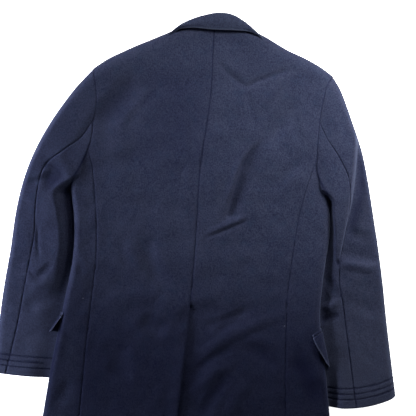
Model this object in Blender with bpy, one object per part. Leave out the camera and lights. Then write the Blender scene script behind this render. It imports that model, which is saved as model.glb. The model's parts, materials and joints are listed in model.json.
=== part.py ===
"""Overcoat of heavy napped wool, laid flat with its back up.

Seen from above, +X is right, +Y points to the collar and +Z rises from the surface that the coat lies on.
Sizes are in millimetres until a mesh is made. Every panel is a section's outer face, with a wall inside it.
"""

import bpy
import numpy as np

MM = 0.001
LEFT, RIGHT = -1, 1
NAME = {LEFT: "left", RIGHT: "right"}

# Cloth and seams
CLOTH = 2.5
GAP = 0.3
HALF_GAP = GAP / 2
SIDE_ROLL = 13.0
SHOULDER_ROLL = 22.0
SHOULDER_LEVEL = 20.0

# Outlines and seams of the body, each a row of (y, x) up the coat
EDGE = {
    LEFT: ((-620, -356), (-500, -338), (-397, -321), (-300, -304), (-200, -284), (-80, -262), (0, -263),
           (37, -267.6), (110, -266), (345, -255)),
    RIGHT: ((-640, 251), (-500, 244), (-397, 236.5), (-300, 227), (-215, 218), (-140, 224), (-43, 237),
            (20, 236), (110, 238), (345, 256)),
}
BACK_SEAM = {
    LEFT: ((-620, -277), (-397, -250), (-267, -237.5), (-169, -226), (-82, -217), (35, -221), (74, -224)),
    RIGHT: ((-640, 152), (-237, 152), (-179, 154), (-101, 163.5), (-29, 175), (37, 191)),
}
ARMHOLE = {
    LEFT: ((37, -267.6), (51, -264.7), (76, -251), (113, -233.5), (140, -226), (173, -222), (191, -218),
           (272, -222)),
    RIGHT: ((20, 235.5), (45, 221), (68, 212), (105, 212), (165, 216), (215, 228), (253, 237.5)),
}
CENTRE = ((-640, -90), (-405, -60), (-190, -35), (-43, -23), (74, -15.5), (210, 4), (356, 12))
SHOULDER_LINE = ((-222, 272), (-198, 288), (-158, 307.5), (-78, 340), (-40, 351), (12, 356), (65, 349),
                 (107, 333), (154, 307.5), (195, 288), (222, 271), (237.5, 253))
HEM_LEFT, HEM_RIGHT = (-352, -570), (250, -615)

# Where the side-back seam and the front seam meet the armhole, as shares of its height from the shoulder
BACK_APEX = {LEFT: 0.67, RIGHT: 0.69}
FRONT_APEX = 0.85
CENTRE_APEX = 100.0

# Lay of the body: the back's height over its middle and beside its folds, and how far the sleeves lift those
LAY_COLUMNS = ("y", "crown", "side", "lift")
LAY_ROWS = (
    (-640, 14, 18, 0),
    (-470, 15, 20, 0),
    (-390, 16.5, 24, 8),
    (-330, 17.5, 29, 14.5),
    (-140, 20, 31, 14.5),
    (0, 24, 32, 13.5),
    (40, 27, 33, 10),
    (110, 31, 36, 4),
    (190, 33, 40, 0),
    (356, 35, 42, 0),
)
LIFT_FULL, LIFT_END = 26.0, 62.0

# Vent: the left back laps the right one below this height
VENT_TOP = -194.0
VENT_LAP, VENT_START = 45.0, 12.0
VENT_DIP = 3.4
VENT_FLAT, VENT_BLEND = 32.0, 32.0
VENT_RISE = 75.0

# Fronts, lapels and pockets
FRONT_LAP = 25.0
SIDE_TURN, SIDE_TURN_RUN = 62.0, 170.0
BREAK_Y = -60.0
ROLL_TOP = {LEFT: (-60, 334), RIGHT: (88, 329)}
LAPEL_COLUMNS = ("y", "width")
LAPEL_ROWS = ((52, 4), (100, 36), (170, 70), (222, 86), (262, 52), (300, 12))
LAYER = CLOTH + GAP
STEP_MARGIN = 50.0
STEP_BLEND = 40.0
POCKET_ROOM = LAYER + 2.8
LAP_ROOM = LAYER + 1.2
SCOOP = 12.0
FLAP_COLUMNS = ("side", "hinge_y", "rear", "slope", "swing", "skew", "stand")
FLAP_ROWS = ((LEFT, -209, 4, 0.02, 17.0, 0.0, 0.0), (RIGHT, -245, 17, -0.3, 0.0, 0.36, 5.6))
FLAP_LENGTH, FLAP_HEIGHT = 130.0, 52.0
FLAP_RUN = (13, 8, 4.5, 2, 0.6, 0, -0.6, -2, -4.5, -8, -13, -22, -35, -50, -75, -100, -FLAP_LENGTH)
FLAP_CLEAR, WELT_CLEAR = 1.2, 0.8
FLAP_UNDER_CLEAR = 1.3
FLAP_HOLD, FLAP_BEND = 12.0, 10.0
WELT_HEIGHT, WELT_WALL = 6.0, 1.6

# Sleeves: a row for each section from the armhole to the cuff
SLEEVE_COLUMNS = ("outer_x", "outer_y", "inner_y", "tuck", "fade", "crown", "seam")
SLEEVE_ROWS = {
    LEFT: (
        (-222, 272, 37, 0, 1.0, 40, 0.426),
        (-261, 230, 10, -6, 0.74, 42, 0.42),
        (-304, 171, -20, -7, 0.36, 42, 0.31),
        (-337, 113, -58, 0, 0.08, 38, 0.20),
        (-360, 54, -97, 11, 0, 34, 0.24),
        (-375, -8, -135, 16, 0, 32, 0.31),
        (-385.5, -80, -175, 18, 0, 32, 0.295),
        (-398, -150, -215, 18, 0, 32, 0.29),
        (-407, -215, -255, 18, 0, 33, 0.275),
        (-413.5, -275, -298, 18, 0, 35, 0.23),
        (-416, -323, -331, 17, 0, 37, 0.175),
    ),
    RIGHT: (
        (237.5, 253, 20, 0, 1.0, 40, 0.376),
        (260, 226, -8, -6, 0.74, 43, 0.47),
        (280, 171, -38, -7, 0.36, 43, 0.43),
        (300, 110, -70, 0, 0.08, 41, 0.37),
        (312, 52, -105, 11, 0, 39, 0.40),
        (322, -10, -140, 16, 0, 38, 0.54),
        (332, -75, -180, 18, 0, 36, 0.59),
        (341, -145, -225, 18, 0, 34, 0.555),
        (348, -215, -270, 18, 0, 35, 0.546),
        (356, -285, -325, 18, 0, 37, 0.539),
        (366, -362, -381, 16, 0, 39, 0.523),
    ),
}
SLEEVE_LOW = 9.0
SLEEVE_SHELF, SLEEVE_REACH = 4.0, 58.0
SLEEVE_WIDTH = 150.0
SLEEVE_INNER_ROLL = 4.5
SLEEVE_MID_SHARE = 0.4
FRONT_SEAM = 0.62

# Largest folds of the upper side: a trough along a bent line, or a ledge that drops on the line's right
FOLD_COLUMNS = ("start", "bend", "end", "reach", "depth", "ledge")
FOLD_ROWS = (
    ((169, 259), (96, 130), (37, -20), 30, 4.0, False),
    ((-142, 239), (-190, 210), (-216, 167), 28, 3.0, False),
    ((-39, -296), (68, -235), (146, -311), 26, 3.0, False),
    ((-322, 80), (-283, 84), (-268, 34), 17, 15.0, False),
    ((287, 138), (284, 10), (251, -110), 16, 10.0, True),
)

# Collar: the fold stands over the neck, the leaf falls back onto the shoulders
NECK_X = 14.0
NECK_FLAT, NECK_BLEND = 20.0, 50.0
COLLAR_SWEEP = 93.0
COLLAR_FOLD_REACH = (60.0, 29.0, 25.0)
COLLAR_FOLD_AT = (352.0, 27.0)
COLLAR_EDGE_REACH = 94.0
COLLAR_EDGE_AT = 336.0
COLLAR_EDGE_RISE = 11.0
COLLAR_EDGE_CLEAR = 1.2
COLLAR_BULGE, COLLAR_BULGE_LEAN = 5.0, 0.35
COLLAR_SIDE_BULGE = 0.6
COLLAR_TURN = 1.6
STAND_REACH = 56.0
STAND_SWEEP = 70.0
STAND_CLEAR, STAND_SETBACK = 0.6, 2.0
COLLAR_SHARES = (0.0, 0.2, 0.4, 0.6, 0.8, 0.93, 1.0)
STAND_SHARES = (0.0, 0.35, 0.7, 1.0)

# Facets
BODY_ROWS = 19
BODY_COLUMNS = 7
TOP_SLEEVE_COLUMNS = 7
COLLAR_COLUMNS = 22
FOLD_STEPS, FOLD_END = 14, 0.02
UNDER_STEPS, SIDE_STEPS, FRONT_STEPS, APEX_STEPS = 3, 5, 6, 2
LAPEL_STEPS, LAPEL_SPLIT = 10, 3
FLAP_STEPS = 5
SOLVE_STEPS = 8
NUDGE, NEAR = 2.0, 1e-6

NAVY = (0.010, 0.012, 0.026, 1.0)
NAVY_LIGHT = (0.014, 0.017, 0.033, 1.0)


# Curves and tables


def smooth(at, knots, values):
    """A smooth curve through the knots, level beyond its ends."""
    knots = np.asarray(knots, float)
    values = np.asarray(values, float)
    slopes = np.gradient(values, knots)
    at = np.clip(np.asarray(at, float), knots[0], knots[-1])
    i = np.clip(np.searchsorted(knots, at) - 1, 0, len(knots) - 2)
    span = knots[i + 1] - knots[i]
    t = (at - knots[i]) / span
    rise = values[i + 1] - values[i]
    left = slopes[i] * span
    right = slopes[i + 1] * span
    return values[i] + t * (left + t * (3 * rise - 2 * left - right + t * (left + right - 2 * rise)))


def along(rows, at):
    """The x of a (y, x) outline at a height, or the y of an (x, y) one."""
    knots, values = zip(*rows)
    return smooth(at, knots, values)


def lookup(rows, columns, name, at):
    """A named column of a table whose first column rises."""
    return smooth(at, [row[0] for row in rows], [row[columns.index(name)] for row in rows])


def ease(t):
    t = np.clip(t, 0, 1)
    return t * t * (3 - 2 * t)


def lay(name, y):
    return lookup(LAY_ROWS, LAY_COLUMNS, name, y)


def edge(side, y):
    return along(EDGE[side], y)


def armhole(side, share):
    """Points of the back armhole, from the shoulder at 0 to the underarm at 1."""
    low, high = ARMHOLE[side][0][0], ARMHOLE[side][-1][0]
    y = high + (low - high) * np.asarray(share, float)
    return along(ARMHOLE[side], y), y


def front_armhole(side, share):
    x, y = armhole(side, share)
    return x - side * SCOOP * np.sin(np.pi * share), y


def back_seam(side, y):
    apex_x, apex_y = armhole(side, BACK_APEX[side])
    return along(BACK_SEAM[side] + ((float(apex_y), float(apex_x)),), y)


def front_seam(side, y):
    """The seam between side and front, on the coat's underside."""
    apex_x, apex_y = front_armhole(side, FRONT_APEX)
    narrow = abs(apex_x - edge(side, apex_y))
    turn = narrow + (SIDE_TURN - narrow) * ease((apex_y - y) / SIDE_TURN_RUN)
    return edge(side, y) - side * turn


def hem(x):
    slope = (HEM_RIGHT[1] - HEM_LEFT[1]) / (HEM_RIGHT[0] - HEM_LEFT[0])
    return HEM_LEFT[1] + slope * (x - HEM_LEFT[0])


def foot(column):
    """The height where a column x(y) meets the hem."""
    y = hem(0.0)
    for _ in range(SOLVE_STEPS):
        y = hem(column(y))
    return y


# Heights


def bent_line(start, bend, end):
    """Points of a curve that leaves start towards bend and arrives at end."""
    t = np.linspace(0, 1, FOLD_STEPS)[:, None]
    return (1 - t) ** 2 * np.array(start) + 2 * t * (1 - t) * np.array(bend) + t * t * np.array(end)


def fold_depth(x, y):
    """How far the large folds lower the upper side at points of the plan."""
    total = np.zeros_like(x)
    for start, bend, end, reach, depth, ledge in FOLD_ROWS:
        line = bent_line(start, bend, end)
        step = line[1:] - line[:-1]
        dx = x[..., None] - line[:-1, 0]
        dy = y[..., None] - line[:-1, 1]
        t = np.clip((dx * step[:, 0] + dy * step[:, 1]) / (step ** 2).sum(1), 0, 1)
        off = np.hypot(dx - t * step[:, 0], dy - t * step[:, 1])
        nearest = off.argmin(-1)[..., None]
        distance = np.take_along_axis(off, nearest, -1)[..., 0]
        part = (nearest[..., 0] + np.take_along_axis(t, nearest, -1)[..., 0]) / len(step)
        fade = np.sin(np.pi * np.clip(part, FOLD_END, 1 - FOLD_END)) ** 0.5
        if ledge:
            beyond = np.take_along_axis(dx * step[:, 1] - dy * step[:, 0], nearest, -1)[..., 0] < 0
            inside = fade * (part > NEAR) * (part < 1 - NEAR)
            total += depth * inside * np.where(beyond, ease(distance / reach), 0)
        else:
            total += depth * fade * np.clip(1 - (distance / reach) ** 2, 0, 1) ** 2
    return total


def upper(x, y):
    """The back's height before its edges turn down."""
    left, right = edge(LEFT, y), edge(RIGHT, y)
    across = np.clip(np.abs(x - (left + right) / 2) / ((right - left) / 2), 0, 1)
    return lay("crown", y) + (lay("side", y) - lay("crown", y)) * across ** 4 - fold_depth(x, y)


def pocket_step(side, x, y):
    """Room under a front for its flap."""
    row = FLAP_ROWS[0] if side == LEFT else FLAP_ROWS[1]
    hinge = row[FLAP_COLUMNS.index("hinge_y")]
    inward = (edge(side, y) - x) * side
    reach = STEP_MARGIN + STEP_BLEND
    across = ease((FLAP_LENGTH + reach - inward) / STEP_BLEND)
    down = ease((hinge + reach - y) / STEP_BLEND)
    up = ease((y - hinge + FLAP_HEIGHT + reach) / STEP_BLEND)
    return POCKET_ROOM * across * down * up


def lower(side, x, y):
    """The underside's height near a side, before its edges turn up."""
    inward = (edge(side, y) - x) * side
    lift = lay("lift", y) * (1 - ease((inward - LIFT_FULL) / (LIFT_END - LIFT_FULL)))
    return np.maximum(lift, pocket_step(side, x, y))


def shoulder_turn(x, y):
    """(share turned, outward direction) of the shoulder fold at points of the plan."""
    slope = (along(SHOULDER_LINE, x + NUDGE) - along(SHOULDER_LINE, x - NUDGE)) / (2 * NUDGE)
    size = np.sqrt(1 + slope ** 2)
    distance = np.clip((along(SHOULDER_LINE, x) - y) / size, 0, None)
    beside_neck = ease((np.abs(x - NECK_X) - NECK_FLAT) / NECK_BLEND)
    turned = (1 - np.clip(distance / SHOULDER_ROLL, 0, 1)) * beside_neck
    return turned, np.stack([-slope / size, 1 / size], -1)


def side_turn(side, x, y):
    inward = (edge(side, y) - x) * side
    return 1 - np.clip(inward / SIDE_ROLL, 0, 1)


def body_face(side, x, y, top):
    """Points and outward directions of the body's upper or lower face near a side."""
    flat = upper(x, y) if top else lower(side, x, y)
    middle = (lay("side", y) + lay("lift", y)) / 2
    turned = side_turn(side, x, y)
    z = middle + (flat - middle) * np.sqrt(1 - turned ** 2)
    over, away = shoulder_turn(x, y)
    level = SHOULDER_LEVEL + (HALF_GAP if top else -HALF_GAP)
    z = level + (z - level) * np.sqrt(1 - over ** 2)
    up = np.sqrt(np.clip(1 - np.maximum(turned, over) ** 2, 0, 1)) * (1 if top else -1)
    out = np.stack([side * turned + over * away[..., 0], over * away[..., 1], up], -1)
    return np.stack([x, y, z], -1), out / np.linalg.norm(out, axis=-1, keepdims=True)


# Meshes


def solid(name, face, out, wall, colour, flip=False):
    """A closed wall: the face grid, the same grid moved inward, and the rim between them."""
    rows, columns = face.shape[:2]
    count = rows * columns
    points = np.concatenate([face.reshape(-1, 3), (face - wall * out).reshape(-1, 3)])
    quads = []
    for i in range(rows - 1):
        for j in range(columns - 1):
            a = i * columns + j
            quad = (a, a + 1, a + columns + 1, a + columns)
            quads.append(quad)
            quads.append(tuple(count + k for k in reversed(quad)))
    rim = list(range(columns))
    rim += [i * columns + columns - 1 for i in range(1, rows)]
    rim += [(rows - 1) * columns + j for j in range(columns - 2, -1, -1)]
    rim += [i * columns for i in range(rows - 2, 0, -1)]
    for a, b in zip(rim, rim[1:] + rim[:1]):
        quads.append((b, a, count + a, count + b))
    if flip:
        quads = [tuple(reversed(quad)) for quad in quads]
    mesh = bpy.data.meshes.new(name)
    mesh.from_pydata((points * MM).tolist(), [], quads)
    mesh.materials.append(wool(name, colour))
    mesh.shade_smooth()
    item = bpy.data.objects.new(name, mesh)
    bpy.context.scene.collection.objects.link(item)
    return item


def wool(name, colour):
    material = bpy.data.materials.new(name + "_wool")
    material.use_nodes = True
    shader = material.node_tree.nodes["Principled BSDF"]
    shader.inputs["Base Color"].default_value = colour
    shader.inputs["Roughness"].default_value = 0.9
    shader.inputs["Metallic"].default_value = 0.0
    return material


def quarter(count):
    """Shares from 0 to 1 that crowd towards 0, where a fold turns."""
    return 1 - np.cos(np.linspace(0, np.pi / 2, count + 1))


def top_marks(side):
    """Shares down the back armhole where every piece that meets there has its corners."""
    seam = SLEEVE_ROWS[side][0][SLEEVE_COLUMNS.index("seam")]
    apex = BACK_APEX[side]
    return np.concatenate([
        seam * quarter(TOP_SLEEVE_COLUMNS),
        np.linspace(seam, apex, UNDER_STEPS + 1)[1:],
        1 - (1 - apex) * quarter(SIDE_STEPS)[::-1][1:],
    ])


def bottom_marks():
    return np.concatenate([
        FRONT_SEAM * quarter(FRONT_STEPS),
        np.linspace(FRONT_SEAM, FRONT_APEX, APEX_STEPS + 1)[1:],
        1 - (1 - FRONT_APEX) * quarter(FRONT_STEPS)[::-1][1:],
    ])


def between(inner, outer, share):
    return inner + share * (outer - inner)


def panel_plan(inner, outer, apex, hole, shares):
    """Plan grid of a back or front: rows from the hem to the apex, then by the armhole's marks."""
    hole_x, hole_y = hole
    even = np.linspace(0, 1, len(hole_y) + 1)[1:]
    marked = (hole_y - apex) / (hole_y[-1] - apex)
    grid = []
    for share in shares:
        column = lambda y, share=share: between(inner(y), outer(y), share)
        bottom = foot(column)
        start = between(CENTRE_APEX, apex, share)
        low = bottom + (start - bottom) * np.linspace(0, 1, BODY_ROWS)
        goal = start
        for _ in range(SOLVE_STEPS):
            goal = along(SHOULDER_LINE, between(inner(goal), hole_x[-1], share))
        high = start + (goal - start) * between(even, marked, share)
        xs = np.concatenate([column(low), between(inner(high), hole_x, share)])
        grid.append((xs, np.concatenate([low, high])))
    grid = np.array(grid)
    return grid[:, 0].T, grid[:, 1].T


# Body pieces


def make_back(side):
    marks = top_marks(side)
    marks = marks[marks < BACK_APEX[side] - NEAR][::-1]
    x, y = armhole(side, marks)
    apex = float(armhole(side, BACK_APEX[side])[1])
    shares = np.linspace(0, 1, BODY_COLUMNS + 1)
    xs, ys = panel_plan(
        lambda at: along(CENTRE, at),
        lambda at: back_seam(side, at),
        apex,
        (x, y),
        shares,
    )
    xs = xs + side * HALF_GAP * (1 - 2 * shares)
    if side == RIGHT:
        lap = VENT_LAP * ease((VENT_TOP - ys) / VENT_START)
        xs = xs - lap * (1 - shares) ** 2
    face, out = body_face(side, xs, ys, True)
    if side == RIGHT:
        reach = xs - along(CENTRE, ys)
        beside = ease((VENT_FLAT + VENT_BLEND - reach) / VENT_BLEND)
        face[..., 2] -= VENT_DIP * beside * ease((VENT_TOP + VENT_RISE - ys) / VENT_BLEND)
    return solid(f"back_{NAME[side]}", face, out, CLOTH, NAVY, flip=side == LEFT)


def make_side(side):
    top = top_marks(side)
    top = top[top > BACK_APEX[side] - NEAR]
    bottom = bottom_marks()
    bottom = bottom[bottom > FRONT_APEX - NEAR][::-1][1:]
    grids = []
    for share in top:
        end_x, end_y = (float(v) for v in armhole(side, share))
        seam = float(back_seam(side, end_y))
        part = (end_x - seam) / (float(edge(side, end_y)) - seam)
        part = 1.0 if share == top[-1] else part
        column = lambda y, part=part: between(back_seam(side, y), edge(side, y), part)
        low = foot(column)
        ys = low + (end_y - low) * np.linspace(0, 1, BODY_ROWS)
        xs = column(ys) + side * HALF_GAP * (1 - part)
        grids.append(body_face(side, xs, ys - HALF_GAP * np.linspace(0, 1, BODY_ROWS), True))
    for share in bottom:
        end_x, end_y = (float(v) for v in front_armhole(side, share))
        part = (end_x - float(edge(side, end_y))) / float(front_seam(side, end_y) - edge(side, end_y))
        part = 1.0 if share == bottom[-1] else part
        column = lambda y, part=part: between(edge(side, y), front_seam(side, y), part)
        low = foot(column)
        ys = low + (end_y - low) * np.linspace(0, 1, BODY_ROWS)
        xs = column(ys) + side * HALF_GAP * part
        grids.append(body_face(side, xs, ys - HALF_GAP * np.linspace(0, 1, BODY_ROWS), False))
    face = np.stack([g[0] for g in grids], 1)
    out = np.stack([g[1] for g in grids], 1)
    return solid(f"side_{NAME[side]}", face, out, CLOTH, NAVY, flip=side == LEFT)


def front_edge(side, y):
    """Centre front below the break of the lapel, the lapel's roll line above it."""
    middle = (edge(LEFT, y) + edge(RIGHT, y)) / 2 - side * FRONT_LAP
    start = (edge(LEFT, BREAK_Y) + edge(RIGHT, BREAK_Y)) / 2 - side * FRONT_LAP
    rise = np.clip((y - BREAK_Y) / (ROLL_TOP[side][1] - BREAK_Y), 0, 1)
    return np.where(y < BREAK_Y, middle, start + (ROLL_TOP[side][0] - start) * rise)


def lapel_width(y):
    return lookup(LAPEL_ROWS, LAPEL_COLUMNS, "width", y)


def front_steps(side, x, y):
    """Room under a front for the layers that lie beneath it."""
    inward = (x - front_edge(side, y)) * side
    reach = STEP_MARGIN + STEP_BLEND
    lapel = ease((lapel_width(y) + reach - inward) / STEP_BLEND)
    lapel = lapel * ease((y - LAPEL_ROWS[0][0] + reach) / STEP_BLEND)
    if side == LEFT:
        return LAYER * lapel
    lap = ease((2 * FRONT_LAP + reach - inward) / STEP_BLEND)
    return LAYER * lapel + LAP_ROOM * lap * ease((LAPEL_ROWS[0][0] + reach - y) / STEP_BLEND)


def make_front(side):
    marks = bottom_marks()
    marks = marks[marks < FRONT_APEX - NEAR][::-1]
    x, y = front_armhole(side, marks)
    apex = float(front_armhole(side, FRONT_APEX)[1])
    shares = np.linspace(0, 1, BODY_COLUMNS)
    xs, ys = panel_plan(
        lambda at: front_edge(side, at),
        lambda at: front_seam(side, at),
        apex,
        (x, y),
        shares,
    )
    xs = xs - side * HALF_GAP * shares
    face, out = body_face(side, xs, ys, False)
    over, _ = shoulder_turn(xs, ys)
    face[..., 2] += front_steps(side, xs, ys) * (1 - over)
    return solid(f"front_{NAME[side]}", face, out, CLOTH, NAVY, flip=side == RIGHT)


def make_lapel(side):
    ys = np.linspace(LAPEL_ROWS[0][0], LAPEL_ROWS[-1][0], LAPEL_STEPS + 1)[:, None]
    shares = np.linspace(0, 1, LAPEL_SPLIT + 1)[None, :]
    xs = front_edge(side, ys) + side * (GAP + shares * lapel_width(ys))
    face = np.stack([xs, ys + 0 * xs, 0 * xs], -1)
    out = np.zeros_like(face)
    out[..., 2] = -1
    return solid(f"lapel_{NAME[side]}", face, out, CLOTH, NAVY, flip=side == RIGHT)


# Sleeves


def sleeve_value(side, name, station):
    rows = SLEEVE_ROWS[side]
    return smooth(station, range(len(rows)), [row[SLEEVE_COLUMNS.index(name)] for row in rows])


def sleeve_face(side, station, share, top):
    """Points and outward directions of a sleeve, share 0 at its outer fold and 1 at its inner one."""
    value = lambda name: sleeve_value(side, name, station)
    fade = np.clip(value("fade"), 0, 1)
    outer = np.stack([value("outer_x"), value("outer_y")], -1)
    inner_y = value("inner_y")
    inner = np.stack([edge(side, inner_y) - side * value("tuck"), inner_y], -1)
    chord = inner - outer
    width = np.linalg.norm(chord, axis=-1)
    start = SLEEVE_ROWS[side][0]
    hole = armhole if top else front_armhole
    hole_x, hole_y = hole(side, share)
    first = np.array([start[0], start[1]], float)
    last = np.array([armhole(side, 1.0)[0], armhole(side, 1.0)[1]], float)
    bow = np.stack([hole_x, hole_y], -1) - (first + share[..., None] * (last - first))
    plan = outer + share[..., None] * chord + fade[..., None] * bow
    x, y = plan[..., 0] + side * HALF_GAP, plan[..., 1]
    join, _ = body_face(side, hole_x, hole_y, top)
    beside = ease(((x - edge(side, y)) * side - SLEEVE_SHELF) / SLEEVE_REACH)
    crown = SLEEVE_LOW + (value("crown") - SLEEVE_LOW) * beside
    middle = np.where(share < 0.5, value("crown") * SLEEVE_MID_SHARE, SLEEVE_LOW / 2)
    reach = np.where(share < 0.5, SIDE_ROLL, SLEEVE_INNER_ROLL)
    turned = 1 - np.clip(np.minimum(share, 1 - share) * width / reach, 0, 1)
    flat = crown - fold_depth(x, y) * (1 - fade) if top else 0
    tube = middle + (flat - middle) * np.sqrt(1 - turned ** 2)
    z = fade * join[..., 2] + (1 - fade) * tube
    away = chord / width[..., None] * np.where(share < 0.5, -1, 1)[..., None]
    up = np.sqrt(1 - turned ** 2) * (1 if top else -1)
    out = np.concatenate([away * turned[..., None], up[..., None]], -1)
    return np.stack([x, y, z], -1), out / np.linalg.norm(out, axis=-1, keepdims=True)


def make_sleeve(side, upper_piece):
    """The top sleeve lies round the outer fold, the under sleeve round the inner one."""
    stations = np.arange(len(SLEEVE_ROWS[side]), dtype=float)
    seam_at_hole = SLEEVE_ROWS[side][0][SLEEVE_COLUMNS.index("seam")]
    columns = []
    marks = top_marks(side)
    if upper_piece:
        columns += [(mark / seam_at_hole, True) for mark in marks[marks < seam_at_hole + NEAR][::-1]]
        bottom = bottom_marks()
        columns += [(mark / FRONT_SEAM, False) for mark in bottom[bottom < FRONT_SEAM + NEAR][1:]]
    else:
        columns += [((1 - mark) / (1 - seam_at_hole), True) for mark in marks[marks > seam_at_hole - NEAR]]
        bottom = bottom_marks()
        bottom = bottom[bottom > FRONT_SEAM - NEAR][::-1][1:]
        columns += [((1 - mark) / (1 - FRONT_SEAM), False) for mark in bottom]
    faces, outs = [], []
    seam = sleeve_value(side, "seam", stations)
    for part, top in columns:
        split = seam if top else np.full_like(seam, FRONT_SEAM)
        if upper_piece:
            share = part * (split - HALF_GAP / SLEEVE_WIDTH)
        else:
            share = 1 - part * (1 - split - HALF_GAP / SLEEVE_WIDTH)
        face, out = sleeve_face(side, stations, share, top)
        faces.append(face)
        outs.append(out)
    name = ("top_sleeve_" if upper_piece else "under_sleeve_") + NAME[side]
    turned_over = (side == RIGHT) == upper_piece
    return solid(name, np.stack(faces, 1), np.stack(outs, 1), CLOTH, NAVY, flip=turned_over)


# Collar


def collar_fold(turn):
    across, back, rise = COLLAR_FOLD_REACH
    y, z = COLLAR_FOLD_AT
    return np.stack([NECK_X + across * np.sin(turn), y + back * np.cos(turn), z + rise * np.cos(turn)], -1)


def collar_edge(turn):
    x = NECK_X + COLLAR_EDGE_REACH * np.sin(turn)
    y = COLLAR_EDGE_AT + COLLAR_EDGE_RISE * np.sqrt(np.clip(np.cos(turn), 0, 1))
    face, out = body_face(LEFT, x, np.minimum(y, along(SHOULDER_LINE, x)), True)
    return face + out * (CLOTH + COLLAR_EDGE_CLEAR)


def neck_seam(turn):
    x = NECK_X + STAND_REACH * np.sin(turn)
    y = along(SHOULDER_LINE, x)
    face, _ = body_face(LEFT, x, y, True)
    _, away = shoulder_turn(x, y)
    face[..., :2] += STAND_CLEAR * away
    return face - np.array([0, 0, CLOTH / 2])


def grid_out(face):
    """Directions across a grid, from its own neighbours."""
    across = np.gradient(face, axis=1)
    up = np.gradient(face, axis=0)
    out = np.cross(across, up)
    return out / np.linalg.norm(out, axis=-1, keepdims=True)


def make_collar():
    turn = np.radians(np.linspace(-COLLAR_SWEEP, COLLAR_SWEEP, COLLAR_COLUMNS + 1))
    low, high = collar_edge(turn), collar_fold(turn)
    rows = []
    for share in COLLAR_SHARES:
        bulge = COLLAR_BULGE * np.sin(np.pi * share) * np.cos(turn)[:, None].clip(COLLAR_SIDE_BULGE)
        rows.append(low + share * (high - low) + np.array([0, COLLAR_BULGE_LEAN, 1.0]) * bulge)
    fall = np.stack(rows)
    turn = turn * STAND_SWEEP / COLLAR_SWEEP
    stand_low = neck_seam(turn)
    under_fold = collar_fold(turn) + np.array([0, -STAND_SETBACK, -CLOTH - COLLAR_TURN])
    stand = np.stack([stand_low + share * (under_fold - stand_low) for share in STAND_SHARES])
    solid("collar_fall", fall, grid_out(fall), CLOTH, NAVY_LIGHT)
    solid("collar_stand", stand, grid_out(stand), CLOTH, NAVY_LIGHT)


# Pockets


def wrap(side, across, y, clear):
    """Points that follow the side fold, across mm from it: positive on top, negative underneath."""
    x = edge(side, y) - side * np.abs(across)
    top_face, top_out = body_face(side, x, y, True)
    low_face, low_out = body_face(side, x, y, False)
    on_top = (across > 0)[..., None]
    face = np.where(on_top, top_face, low_face)
    out = np.where(on_top, top_out, low_out)
    return face + out * clear[..., None], out


def make_pocket(row):
    side, hinge_y, rear, slope, swing, skew, stand = row
    run = np.array([rear] + [across for across in FLAP_RUN if across < rear])
    down = np.linspace(0, 1, FLAP_STEPS + 1)[:, None]
    near_rear = ease((run + FLAP_HOLD) / (rear + FLAP_HOLD))[None, :]
    across = run[None, :] - skew * FLAP_HEIGHT * down * near_rear
    hinge = hinge_y + slope * np.clip(run, -FLAP_BEND, None)[None, :]
    ys = hinge - FLAP_HEIGHT * down
    under = FLAP_UNDER_CLEAR * ease(-across / SIDE_ROLL)
    face, out = wrap(side, across, ys, FLAP_CLEAR + CLOTH + under + stand * np.sqrt(down) * near_rear)
    face[..., 0] += side * swing * down * near_rear
    solid(f"pocket_flap_{NAME[side]}", face, out, CLOTH, NAVY_LIGHT, flip=side == RIGHT)
    strip = np.array([WELT_HEIGHT + GAP, GAP])[:, None]
    across = run[None, :] + 0 * strip
    under = FLAP_UNDER_CLEAR * ease(-across / SIDE_ROLL)
    face, out = wrap(side, across, hinge + strip, WELT_CLEAR + WELT_WALL + under)
    solid(f"pocket_welt_{NAME[side]}", face, out, WELT_WALL, NAVY_LIGHT, flip=side == RIGHT)


# The coat


def centre_on_floor(items):
    """Moves the coat so that the middle of its box's underside is the origin."""
    points = np.concatenate([np.array([v.co[:] for v in item.data.vertices]) for item in items])
    low, high = points.min(0), points.max(0)
    coat = bpy.data.objects.new("coat", None)
    bpy.context.scene.collection.objects.link(coat)
    coat.location = (-(low[0] + high[0]) / 2, -(low[1] + high[1]) / 2, -low[2])
    for item in items:
        item.parent = coat


def main():
    for item in list(bpy.data.objects):
        bpy.data.objects.remove(item, do_unlink=True)
    for side in (LEFT, RIGHT):
        make_back(side)
        make_side(side)
        make_front(side)
        make_lapel(side)
        make_sleeve(side, True)
        make_sleeve(side, False)
    make_collar()
    for row in FLAP_ROWS:
        make_pocket(row)
    centre_on_floor([item for item in bpy.data.objects if item.type == "MESH"])


main()
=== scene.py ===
"""Overcoat of heavy napped wool, laid flat with its back up: its looks.

Plan sizes are in millimetres as the camera sees the coat: +X right, +Y towards the collar, +Z up.
"""

import json
import logging
import math
from collections.abc import Callable, Iterator
from dataclasses import dataclass, field
from enum import Enum
from functools import partial
from typing import NamedTuple

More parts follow.
